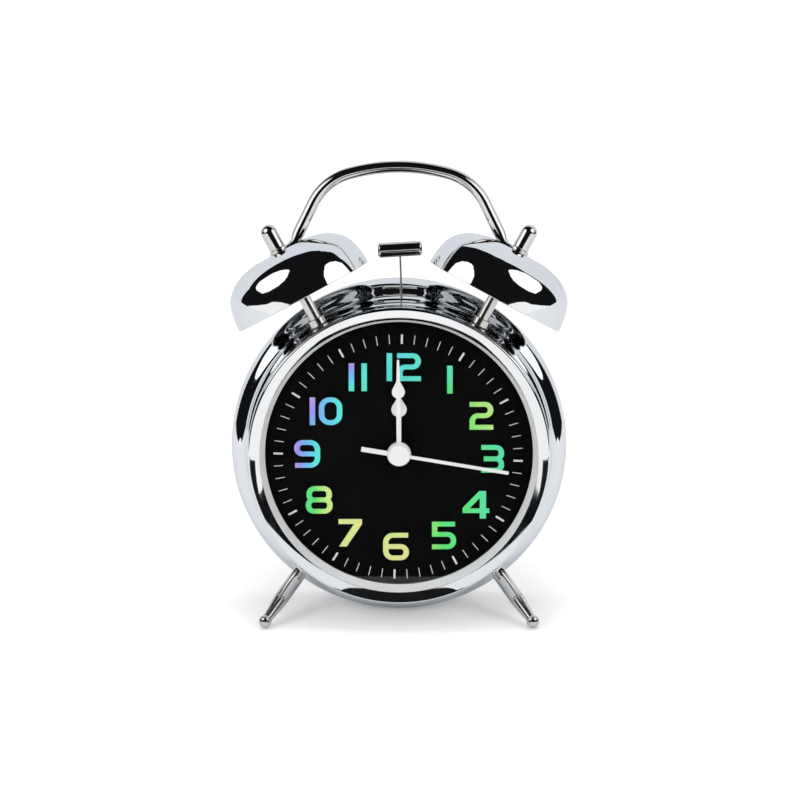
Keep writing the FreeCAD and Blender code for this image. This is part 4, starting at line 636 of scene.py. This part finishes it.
def ringRound(middle, wide, high, widthAxis, along):
    # An ellipse of points round a middle line that runs along the given way.
    count = handle["sides"]
    heightAxis = along.cross(widthAxis).normalized()
    return [middle + widthAxis * wide * math.cos(2 * math.pi * i / count)
            + heightAxis * high * math.sin(2 * math.pi * i / count) for i in range(count)]


def neckRings(centre, inward, depthwards, rodStart, rodDirection):
    # From inside the flat plate, round and up into the rod.
    radius, halfWidth, halfThick = handle["radius"], handle["neckHalfWidth"], handle["plateThickness"] / 2
    root = centre + inward * (handle["neckStart"] - handle["rootIn"])
    rings = [ringRound(root, halfWidth * handle["rootWidth"], halfThick * handle["rootThickness"],
                       depthwards, inward)]
    p0, p3 = centre + inward * handle["neckStart"], rodStart
    reach = (p3 - p0).length * handle["neckBend"]
    p1, p2 = p0 + inward * reach, p3 - rodDirection * reach
    for i in range(handle["neckSteps"] + 1):
        t = i / handle["neckSteps"]
        here = p0 * (1 - t) ** 3 + p1 * 3 * t * (1 - t) ** 2 + p2 * 3 * t ** 2 * (1 - t) + p3 * t ** 3
        heading = (p1 - p0) * 3 * (1 - t) ** 2 + (p2 - p1) * 6 * t * (1 - t) + (p3 - p2) * 3 * t ** 2
        blend = t * t * (3 - 2 * t)
        rings.append(ringRound(here, halfWidth * (1 - blend) + radius * blend,
                               halfThick * (1 - blend) + radius * blend, depthwards, heading.normalized()))
    return rings


def handleRod():
    place = postPlace(1)
    up = Vector(place.col[2][:3])
    centre = Vector(place.translation) + up * (handle["plateStart"] + handle["plateThickness"] / 2)
    lean = math.radians(handle["lean"])
    rise = Vector((0, math.sin(lean), math.cos(lean)))
    depthwards = Vector((0, math.cos(lean), -math.sin(lean)))
    inward = -depthwards.cross(up)
    line = [Vector((p.x, centre.y, centre.z)) + rise * p.y for p in handleLine()]
    neck = neckRings(centre, inward, depthwards, line[0], (line[1] - line[0]).normalized())
    radius = handle["radius"]
    rings = neck + [ringRound(here, radius, radius, depthwards, (after - before).normalized())
                    for before, here, after in zip(line, line[1:], line[2:])]
    rings += [[mirrored(p) for p in one] for one in reversed(neck)]
    work = bmesh.new()
    loops = [[work.verts.new(clockPlace @ point) for point in one] for one in rings]
    for lower, upper in zip(loops, loops[1:]):
        for i in range(handle["sides"]):
            after = (i + 1) % handle["sides"]
            work.faces.new((lower[i], lower[after], upper[after], upper[i])).smooth = True
    for loop in (loops[0], loops[-1]):
        work.faces.new(loop)
    return outwardMesh(work, "handleRod")


plateProfile = tube(handle["hole"], handle["plateRadius"], 0, handle["plateThickness"])
handleMeshes = [handleRod()] + onBothPosts(plateProfile, handle["plateStart"], handle["plateEdge"], 48)
meshPiece("carryHandle", joinMeshes("carryHandle", handleMeshes), nickelPlate, "handle")
stageNote("bells and handle made")


foot = {
    "angle": 37.4, "rootRadius": 59.3536, "rootDepth": 15.5, "reach": (11.6, -14.7, -13.7), "sunk": 0.9,
    "radius": 2.6, "neckRadius": 1.7, "ballRadius": 2.25, "taper": 10.7, "edge": 0.12,
    # The groove where the taper starts, and the neck's end at the ball, as steps of radius and length.
    "groove": [(0, -0.35), (-0.14, -0.2), (-0.14, 0.05), (-0.02, 0.2)],
    "neckEnd": [(0.05, -0.15), (0.05, 0)],
}
hammer = {
    "spot": (0.35, 10.0, 71.7), "half": 7.85, "radius": 2.65, "chamfer": 0.7, "tilt": 3.3, "edge": 0.25,
}

footAngle = math.radians(foot["angle"])
footLength = Vector(foot["reach"]).length
taperStart, ball = footLength - foot["taper"], foot["ballRadius"]
ballStart = footLength - math.sqrt(ball ** 2 - foot["neckRadius"] ** 2)
footProfile = [(0, -foot["sunk"]), (foot["radius"], -foot["sunk"])]
footProfile += [(foot["radius"] + out, taperStart + on) for out, on in foot["groove"]]
footProfile += [(foot["neckRadius"] + out, ballStart + on) for out, on in foot["neckEnd"]]
footProfile.append((0, footLength + ball, ball))
for word, side in bothSides:
    root = Vector((side * foot["rootRadius"] * math.sin(footAngle), foot["rootDepth"],
                   -foot["rootRadius"] * math.cos(footAngle)))
    x, y, z = foot["reach"]
    footMesh = turned(footProfile, axisPlace(root, (side * x, y, z)), foot["edge"], closed=False, perArc=20)
    meshPiece("%sFoot" % word, footMesh, satinNickel, "foot_%s" % word)

headTilt = math.radians(hammer["tilt"])
headPlace = axisPlace(hammer["spot"], (math.cos(headTilt), 0, math.sin(headTilt)))
half, full, chamfer = hammer["half"], hammer["radius"], hammer["chamfer"]
headProfile = [(0, -half), (full - chamfer, -half), (full, -half + chamfer), (full, half - chamfer),
               (full - chamfer, half), (0, half)]
headMesh = turned(headProfile, headPlace, hammer["edge"], closed=False)
meshPiece("hammerHead", headMesh, nickelPlate, "hammer_head", body="hammer_body")
stageNote("feet and hammer made")


eased = {
    # CAD node: piece, finish, body, width of the eased edge
    "back_cover": ("backCover", casePlastic, "case_body", 0.2),
    "back_cover_screws": ("coverScrews", zincSteel, "case_body", 0.12),
    "battery_door": ("batteryDoor", casePlastic, "battery_door_body", 0.2),
    "time_knob": ("timeKnob", knobPlastic, "time_knob_body", 0.15),
    "alarm_knob": ("alarmKnob", knobPlastic, "alarm_knob_body", 0.15),
    "alarm_switch": ("alarmSwitch", knobPlastic, "alarm_switch_body", 0.15),
    "hour_hand": ("hourHand", handEnamel, "hour_hand_body", 0.05),
    "minute_hand": ("minuteHand", handEnamel, "minute_hand_body", 0.05),
    "second_hand": ("secondHand", handEnamel, "second_hand_body", 0.05),
}
easing = {"flat": 0.6, "hard": 35, "smooth": 25}


def slotOf(node):
    return node.data.materials[0].name.split(".")[0]


def easedCopy(node, name, width):
    # The node's own shape with its hard edges eased, as moulding and plating leave them.
    work = bmesh.new()
    work.from_mesh(node.data)
    bmesh.ops.remove_doubles(work, verts=work.verts, dist=1e-7)
    bmesh.ops.dissolve_limit(work, angle_limit=math.radians(easing["flat"]), verts=work.verts,
                             edges=work.edges)
    hard = [edge for edge in work.edges if edge.calc_face_angle() > math.radians(easing["hard"])]
    bmesh.ops.bevel(work, geom=hard, offset=width * mm, offset_type="OFFSET", segments=2, profile=0.6,
                    affect="EDGES", clamp_overlap=True)
    mesh = bpy.data.meshes.new(name)
    work.to_mesh(mesh)
    work.free()
    smoothBelow(mesh, easing["smooth"])
    return mesh


for nodeName, (pieceName, finish, body, width) in eased.items():
    node = frame["nodes"][nodeName]
    meshPiece(pieceName, easedCopy(node, pieceName, width), finish, nodeName, body)
stageNote("cover, door, switch, knobs and hands eased")


dialPrint = {
    "centre": (-0.30, -1.73, 0), "turn": -1.77, "front": 4.0, "thickness": 0.05,
    "inner": 40.8, "outer": 44.1, "wide": 0.7, "narrow": 0.24,
}
# A drawing in X and Y stands up on the dial.
dialPlace = clockPlace @ Matrix(((1, 0, 0, 0), (0, 0, -1, dialPrint["front"]), (0, 1, 0, 0), (0, 0, 0, 1)))


def makeTickTree():
    # Minute marks: bars on a circle, every fifth one wider.
    tree = bpy.data.node_groups.new("minuteMarks", "GeometryNodeTree")
    kinds = {"Geometry": "Geometry", "Wide paint": "Material", "Narrow paint": "Material"}
    inputs = {}
    for name in ("Geometry", "Inner", "Outer", "Wide", "Narrow", "Thickness", "Wide paint", "Narrow paint"):
        kind = "NodeSocket" + kinds.get(name, "Float")
        inputs[name] = tree.interface.new_socket(name, in_out="INPUT", socket_type=kind).identifier
    tree.interface.new_socket("Geometry", in_out="OUTPUT", socket_type="NodeSocketGeometry")
    given = addNode(tree, "NodeGroupInput").outputs
    radius = calc("MULTIPLY", calc("ADD", given["Inner"], given["Outer"]), 0.5)
    length = calc("SUBTRACT", given["Outer"], given["Inner"])

    def bars(count, kind, skipFifth):
        size = feed(addNode(tree, "ShaderNodeCombineXYZ"), X=length, Y=given[kind], Z=given["Thickness"])
        bar = feed(addNode(tree, "GeometryNodeMeshCube"), Size=size)
        circle = feed(addNode(tree, "GeometryNodeMeshCircle", Vertices=count), Radius=radius)
        points = feed(addNode(tree, "GeometryNodeMeshToPoints"), Mesh=circle)
        spot = addNode(tree, "GeometryNodeInputPosition").outputs[0]
        outwards = feed(addNode(tree, "FunctionNodeAlignRotationToVector", axis="X"), Vector=spot)
        spots = addNode(tree, "GeometryNodeInstanceOnPoints")
        if skipFifth:
            fifth = calc("MODULO", addNode(tree, "GeometryNodeInputIndex").outputs[0], 5)
            keep = addNode(tree, "FunctionNodeCompare", operation="GREATER_THAN", B=0.5)
            feed(spots, Selection=feed(keep, A=fifth))
        placed = feed(spots, Points=points, Instance=bar, Rotation=outwards)
        real = feed(addNode(tree, "GeometryNodeRealizeInstances"), Geometry=placed)
        painted = addNode(tree, "GeometryNodeSetMaterial")
        return feed(painted, Geometry=real, Material=given[kind + " paint"])

    join = addNode(tree, "GeometryNodeJoinGeometry")
    feed(join, Geometry=bars(60, "Narrow", True))
    feed(join, Geometry=bars(12, "Wide", False))
    tree.links.new(join.outputs[0], addNode(tree, "NodeGroupOutput").inputs["Geometry"])
    return tree, inputs


def growTicks():
    # Evaluates the marks' node tree on an empty mesh and keeps the result as a plain mesh.
    holder = addObject("holder", bpy.data.meshes.new("holder"))
    grow = holder.modifiers.new("grow", "NODES")
    grow.node_group, inputs = makeTickTree()
    for key in ("inner", "outer", "wide", "narrow", "thickness"):
        grow[inputs[key.capitalize()]] = dialPrint[key]
    grow[inputs["Wide paint"]], grow[inputs["Narrow paint"]] = whitePrint, greyPrint
    mesh = evaluatedMesh(holder)
    bpy.data.objects.remove(holder)
    turn = Matrix.Rotation(math.radians(dialPrint["turn"]), 4, "Z")
    mesh.transform(dialPlace @ (Matrix.Translation(dialPrint["centre"]) @ turn))
    return mesh


ticks = growTicks()
meshPiece("minuteMarks", ticks, list(ticks.materials))
stageNote("minute marks printed")


numerals = {
    # The lift parts overlapping strokes, so that they don't lie in one plane.
    "height": 10.0, "pen": 1.75, "pillar": 1.95, "thickness": 0.05, "lift": 0.004, "cornerSteps": 8,
    # From twelve to eleven: figure, centre, hue where it starts and ends, direction of the hue's run.
    "marks": [
        ("1", (-3.40, 30.68), 0.56, 0.60, 90), ("2", (3.52, 30.68), 0.62, 0.54, 0),
        ("1", (17.94, 26.19), 0.30, 0.52, 90), ("2", (29.10, 13.17), 0.26, 0.12, 20),
        ("3", (33.12, -2.35), 0.34, 0.46, 0), ("4", (27.27, -19.0), 0.30, 0.44, 0),
        ("5", (15.99, -30.14), 0.26, 0.34, 0), ("6", (-1.06, -34.18), 0.02, 0.07, 90),
        ("7", (-17.31, -29.17), 0.06, 0.02, 0), ("8", (-28.29, -17.22), 0.40, 0.05, 0),
        ("9", (-32.48, -0.57), 0.96, 0.54, 0), ("1", (-30.58, 14.85), 0.78, 0.98, 90),
        ("0", (-24.17, 14.85), 0.80, 0.56, 0), ("1", (-16.78, 27.05), 0.50, 0.94, 90),
        ("1", (-12.29, 27.05), 0.52, 0.56, 90),
    ],
}
penV, penH = numerals["pillar"] / 2, numerals["pen"] / 2


def figureStrokes():
    # Each figure's width and strokes. Lines and loops are the pen's path with the radii of its corners,
    # fills are outlines, and a hollow has its hole as a second outline.
    tall = numerals["height"]
    top, low = tall - penH, penH
    two, three, five, six, eight, zero = 8.4, 8.1, 8.6, 9.2, 9.5, 8.3
    twoRight, threeRight, fiveRight, zeroRight = two - penV, three - penV, five - penV, zero - penV
    waist, bulge = penV + 0.25, eight - penV - 0.25
    sixStem = [(8.9, top), (penV, top, 2.6), (penV, 3.0)]
    sixBowl = [(penV, 3.8), (penV, low, 2.6), (six - penV, low, 2.0), (six - penV, 5.0, 2.0), (penV, 5.0)]
    return {
        "1": (1.95, [("fill", [(0, 0), (1.95, 0), (1.95, tall), (0, tall)])]),
        "0": (zero, [("loop", [(penV, low, 2.9), (zeroRight, low, 2.9), (zeroRight, top, 2.9),
                               (penV, top, 2.9)])]),
        "2": (two, [("line", [(0, top), (twoRight, top, 2.0), (twoRight, 5.05, 2.0), (penV, 5.05, 2.0),
                              (penV, low), (two, low)])]),
        "3": (three, [("line", [(0, top), (threeRight, top, 1.9), (threeRight, 5.0, 1.9), (0.9, 5.0)]),
                      ("line", [(4.5, 5.0), (threeRight, 5.0, 1.9), (threeRight, low, 1.9), (0, low)])]),
        "4": (9.5, [("hollow", [(6.1, 0), (8.35, 0), (8.35, 2.0), (9.5, 2.0), (9.5, 3.7), (8.35, 3.7),
                                (8.35, tall), (5.9, tall), (0, 3.85), (0, 2.0), (6.1, 2.0)],
                     [(2.55, 3.7), (6.1, 3.7), (6.1, 7.5)])]),
        "5": (five, [("line", [(8.2, top), (penV, top), (penV, 5.4), (fiveRight, 5.4, 2.1),
                               (fiveRight, low, 2.1), (0, low)])]),
        "6": (six, [("line", sixStem), ("line", sixBowl)]),
        "7": (8.33, [("fill", [(0.2, 0), (2.9, 0), (8.33, 8.1), (8.33, tall), (0, tall), (0, tall - 1.8),
                               (5.5, tall - 1.8)])]),
        "8": (eight, [("loop", [(waist, 5.0, 1.7), (bulge, 5.0, 1.7), (bulge, top, 1.95),
                                (waist, top, 1.95)]),
                      ("loop", [(penV, low, 1.95), (eight - penV, low, 1.95), (eight - penV, 5.0, 1.7),
                                (penV, 5.0, 1.7)])]),
        "9": (six, [("line", [(six - x, tall - y, *radius) for x, y, *radius in stroke])
                    for stroke in (sixStem, sixBowl)]),
    }


def roundedPath(points, closed):
    # Corners with a radius become arcs; the rest stay sharp.
    result = []
    for i, (x, y, *radius) in enumerate(points):
        here = Vector((x, y))
        if not radius or (not closed and i in (0, len(points) - 1)):
            result.append(here)
            continue
        before = (Vector(points[i - 1][:2]) - here).normalized()
        after = (Vector(points[(i + 1) % len(points)][:2]) - here).normalized()
        back = radius[0] / math.tan(before.angle(after) / 2)
        start, stop = here + before * back, here + after * back
        leftTurn = before.x * after.y - before.y * after.x < 0
        result.append(start)
        result += arcPoints(start, stop, radius[0] if leftTurn else -radius[0], numerals["cornerSteps"])
        result.append(stop)
    return result


def offsetPath(path, closed, side):
    # One edge of the pen's stroke: flat runs take the thin pen, upright runs the thick one.
    moved = []
    count = len(path)
    for i, here in enumerate(path):
        normals = []
        for a, b in ((i - 1, i), (i, i + 1)):
            if closed or (a >= 0 and b < count):
                run = (path[b % count] - path[a % count]).normalized()
                normals.append(Vector((-run.y, run.x)))
        normal, stretch = normals[0], 1.0
        if len(normals) == 2:
            normal = (normals[0] + normals[1]).normalized()
            stretch = 1 / max(normal.dot(normals[0]), 0.5)
        moved.append(here + Vector((normal.x * penV, normal.y * penH)) * side * stretch)
    return moved


def areaOf(points):
    return abs(sum(a.x * b.y - b.x * a.y for a, b in zip(points, points[1:] + points[:1])))


def outlinesOf(kind, points, hole=None):
    # A stroke's outer outline and the list of its holes.
    if kind == "fill":
        return [Vector(p) for p in points], []
    if kind == "hollow":
        return [Vector(p) for p in points], [[Vector(p) for p in hole]]
    closed = kind == "loop"
    path = roundedPath(points, closed)
    one, other = offsetPath(path, closed, 1), offsetPath(path, closed, -1)
    if not closed:
        return one + other[::-1], []
    inner, outer = sorted((one, other), key=areaOf)
    return outer, [inner]


def strokeMesh(outer, holes):
    curve = bpy.data.curves.new("stroke", "CURVE")
    curve.dimensions, curve.fill_mode, curve.extrude = "2D", "BOTH", numerals["thickness"] / 2
    for loop in [outer] + holes:
        spline = curve.splines.new("POLY")
        spline.points.add(len(loop) - 1)
        for point, spot in zip(spline.points, loop):
            point.co = (spot.x, spot.y, 0, 1)
        spline.use_cyclic_u = True
    holder = addObject("stroke", curve)
    mesh = evaluatedMesh(holder)
    bpy.data.objects.remove(holder)
    return mesh


def numeralMesh(figure, centre, hueLow, hueHigh, direction):
    width, strokes = figureStrokes()[figure]
    meshes = [strokeMesh(*outlinesOf(*stroke)) for stroke in strokes]
    for i, one in enumerate(meshes):
        one.transform(Matrix.Translation((-width / 2, -numerals["height"] / 2, numerals["lift"] * i)))
    mesh = joinMeshes("numeral", meshes)
    ahead = unit(direction)
    reach = max(abs(ahead.x) * width, abs(ahead.y) * numerals["height"]) / 2
    hue = mesh.attributes.new("shimmer", "FLOAT", "POINT")
    for vert, value in zip(mesh.vertices, hue.data):
        share = (vert.co.x * ahead.x + vert.co.y * ahead.y) / reach / 2 + 0.5
        value.value = hueLow + (hueHigh - hueLow) * min(max(share, 0), 1)
    mesh.transform(Matrix.Translation((*centre, 0)))
    return mesh


figures = joinMeshes("numerals", [numeralMesh(*mark) for mark in numerals["marks"]])
figures.transform(dialPlace)
meshPiece("numerals", figures, shimmerFoil)
stageNote("numerals printed")


bySlot = {
    "chrome": mirrorChrome, "lens_glass": lensGlass, "dial_black": dialPaint, "black_plastic": casePlastic,
    "movement_plastic": movementPlastic, "white_hands": handEnamel, "wheel_plastic": nylon,
    "steel": zincSteel, "brass": turnedBrass, "copper_coil": copperWinding, "board": boardGreen,
    "cell": cellSleeve, "magnet": ferrite,
}
for name, node in frame["nodes"].items():
    finish = drawnSteel if name == "hammer_wire" else bySlot[slotOf(node)]
    node.data.materials.clear()
    node.data.materials.append(finish)
stageNote("finishes given to %d nodes" % len(frame["nodes"]))


studio = {
    "view": (0.35, 0, 19.6), "distance": 1.6, "elevation": 21.607, "lens": 204.5, "sensor": 36.0,
    "ambient": 0.62, "floorGlow": 0.17, "domeHeight": 0.11, "floorHalf": 4,
    # Patches of the room that polished metal sees: whether it has a mirrored twin, distance, the azimuth
    # from the camera's side towards +X with the lowest and highest elevation at each station, then
    # colour and strength.
    "patches": {
        "softBox": (True, 0.37, [(41, 38, 46), (47, 28, 52), (58, 17, 58), (68, 11, 59), (81, 13, 57),
                                 (94, 19, 51), (101, 26, 42)], (1.0, 1.0, 1.0), 1.2),
        "backdrop": (False, 3.0, [(110, -30, 42), (125, -30, 60), (150, -30, 66), (180, -30, 62),
                                  (205, -30, 52), (230, -30, 28), (249, -30, 12)],
                     (0.70, 0.735, 0.77), 1.0),
        "frontWall": (True, 3.0, [(3, -3, 9), (12, -6, 9), (35, -18, 7), (47, -24, 4), (57, -30, -2),
                                  (74, -30, -8), (92, -30, -13)], (0.92, 0.92, 0.92), 1.0),
        "frontWallMiddle": (False, 3.0, [(-3, 2.2, 9), (3, 2.2, 9)], (0.97, 0.97, 0.97), 1.0),
    },
    "patchSteps": 8,
    # The pale paper under the clock that only the metal sees: near left corner, far right corner, height.
    "paper": (-0.52, -0.42, 0.55, 1.2, 0.00002),
    # A dark card on the floor in front, seen only in metal, paints the shade on the floor there into the
    # bezel's reflection: half width and Y at its far and near side, and its height.
    "frontShadeCard": (0.012, -0.34, 0.031, -0.040, 0.00005),
    # Low dark cards at either side, seen only in metal, paint a line of shade along the bezel's sides where
    # it meets the case: middle in X and Y, distance, then azimuth, lowest and highest point.
    "sideShadeCard": (0.053, -0.01, 0.12, [(4, 0.034, 0.059), (20, 0.034, 0.059), (36, 0.040, 0.057)]),
    # Lamps, all aimed at the clock: place, width, power.
    "lamps": {"lampLeft": ((-1.3, -0.9, 1.0), 0.9, 10), "lampRight": ((1.4, -0.8, 1.0), 0.9, 9),
              "lampTop": ((0.0, 0.2, 1.9), 1.2, 14)},
    "aim": (0, 0, 0.08),
}


def stageMesh(name, verts, faces, material):
    mesh = bpy.data.meshes.new(name)
    mesh.from_pydata(verts, [], faces)
    mesh.materials.append(material)
    thing = addObject(name, mesh)
    return thing


def reflectedMesh(name, verts, faces, material):
    # A thing of the studio that is seen in polished metal only.
    thing = stageMesh(name, verts, faces, material)
    for ray in ("camera", "diffuse", "shadow", "transmission"):
        setattr(thing, "visible_" + ray, False)


def glowMaterial(name, colour, strength):
    material, tree, shader = newMaterial(name)
    tree.nodes.remove(shader)
    show(addNode(tree, "ShaderNodeEmission", Color=(*colour, 1), Strength=strength).outputs[0])
    return material


def domePatch(name, distance, stations, colour, strength):
    # A patch of a big dome round the clock, lofted between its stations.
    steps = studio["patchSteps"]
    rows = [[a + (b - a) * i / steps for a, b in zip(one, other)]
            for one, other in zip(stations, stations[1:]) for i in range(steps)] + [stations[-1]]
    verts = []
    for az, low, high in rows:
        for j in range(steps + 1):
            a, e = math.radians(az), math.radians(low + (high - low) * j / steps)
            verts.append((distance * math.cos(e) * math.sin(a), -distance * math.cos(e) * math.cos(a),
                          studio["domeHeight"] + distance * math.sin(e)))
    starts = [i * (steps + 1) + j for i in range(len(rows) - 1) for j in range(steps)]
    faces = [(a, a + 1, a + steps + 2, a + steps + 1) for a in starts]
    reflectedMesh(name, verts, faces, glowMaterial(name, colour, strength))


for name, (hasTwin, distance, stations, *light) in studio["patches"].items():
    if hasTwin:
        twin = [(-az, low, high) for az, low, high in reversed(stations)]
        domePatch(name + "Left", distance, twin, *light)
    domePatch(name + "Right" if hasTwin else name, distance, stations, *light)


def makePaper(name, colour, glow):
    # Matt paper; where the camera sees it, its glow lifts it to the white of the background.
    matt = {"Base_Color": (*colour, 1), "Roughness": 0.9, "Specular_IOR_Level": 0.0}
    material, tree, shader = newMaterial(name, **matt)
    if glow:
        seen = addNode(tree, "ShaderNodeLightPath").outputs["Is Camera Ray"]
        lift = feed(addNode(tree, "ShaderNodeEmission"), Strength=calc("MULTIPLY", seen, glow))
        show(feedInOrder(addNode(tree, "ShaderNodeAddShader"), shader.outputs[0], lift))
    return material


def sheetCorners(x0, y0, x1, y1, height):
    return [(x0, y0, height), (x1, y0, height), (x1, y1, height), (x0, y1, height)]


oneFace = [(0, 1, 2, 3)]
wide = studio["floorHalf"]
floor = stageMesh("floor", sheetCorners(-wide, -wide, wide, wide, 0), oneFace,
                  makePaper("floorPaper", (0.9, 0.9, 0.9), studio["floorGlow"]))
floor.visible_glossy = False
floor.visible_transmission = False
reflectedMesh("paper", sheetCorners(*studio["paper"]), oneFace,
              makePaper("reflectedPaper", (0.64, 0.66, 0.685), 0))
# Painted shade: a near-black glow for the cards that only metal sees.
paintedShadePaper = glowMaterial("paintedShadePaper", (0.01, 0.01, 0.01), 1.0)
# The front card paints the shade on the floor in front of the clock into the bezel's lower edge.
farHalf, farY, nearHalf, nearY, cardHeight = studio["frontShadeCard"]
reflectedMesh("frontShadeCard", [(-nearHalf, nearY, cardHeight), (nearHalf, nearY, cardHeight),
                            (farHalf, farY, cardHeight), (-farHalf, farY, cardHeight)], oneFace, paintedShadePaper)
# Painted shade: the side cards put the dark line of the gap between bezel and case into the bezel's sides.
cardX, cardY, reach, stations = studio["sideShadeCard"]
for word, side in bothSides:
    corners = []
    for az, low, high in stations:
        toFront, toSide = unit(az) * reach
        corners += [(side * (cardX + toSide), cardY - toFront, height) for height in (low, high)]
    quads = [(2 * i, 2 * i + 1, 2 * i + 3, 2 * i + 2) for i in range(len(stations) - 1)]
    reflectedMesh("sideShadeCard" + word.capitalize(), corners, quads, paintedShadePaper)


def skyLight(tree, colour, strength):
    return addNode(tree, "ShaderNodeBackground", Color=(*colour, 1), Strength=strength).outputs[0]


# The camera sees white round the clock, metal and glass see a dark room, and all else has soft light.
world = bpy.data.worlds.new("studio")
scene.world = world
world.use_nodes = True
worldTree = world.node_tree
worldTree.nodes.clear()
rays = addNode(worldTree, "ShaderNodeLightPath").outputs
inMirror = calc("MAXIMUM", rays["Is Glossy Ray"], rays["Is Transmission Ray"])
room = mixShader(inMirror, skyLight(worldTree, (1, 1, 1), studio["ambient"]),
                 skyLight(worldTree, (0.006, 0.006, 0.007), 1.0))
seen = mixShader(rays["Is Camera Ray"], room, skyLight(worldTree, (1, 1, 1), 1.0))
worldTree.links.new(seen, addNode(worldTree, "ShaderNodeOutputWorld").inputs["Surface"])

for name, (spot, size, power) in studio["lamps"].items():
    lamp = bpy.data.lights.new(name, "AREA")
    lamp.shape, lamp.size, lamp.size_y, lamp.energy = "RECTANGLE", size, size, power
    holder = addObject(name, lamp)
    holder.location = spot
    holder.rotation_euler = (Vector(studio["aim"]) - Vector(spot)).to_track_quat("-Z", "Y").to_euler()
    holder.visible_camera = False
    holder.visible_glossy = False

lens = bpy.data.cameras.new("camera")
lens.lens, lens.sensor_width, lens.clip_end = studio["lens"], studio["sensor"], 20
camera = addObject("camera", lens)
tilt = math.radians(studio["elevation"])
camera.location = clockPlace @ Vector(studio["view"])
camera.location += Vector((0, -math.cos(tilt), math.sin(tilt))) * studio["distance"]
camera.rotation_euler = (math.radians(90) - tilt, 0, 0)
scene.camera = camera
stageNote("studio ready")

bpy.context.view_layer.update()
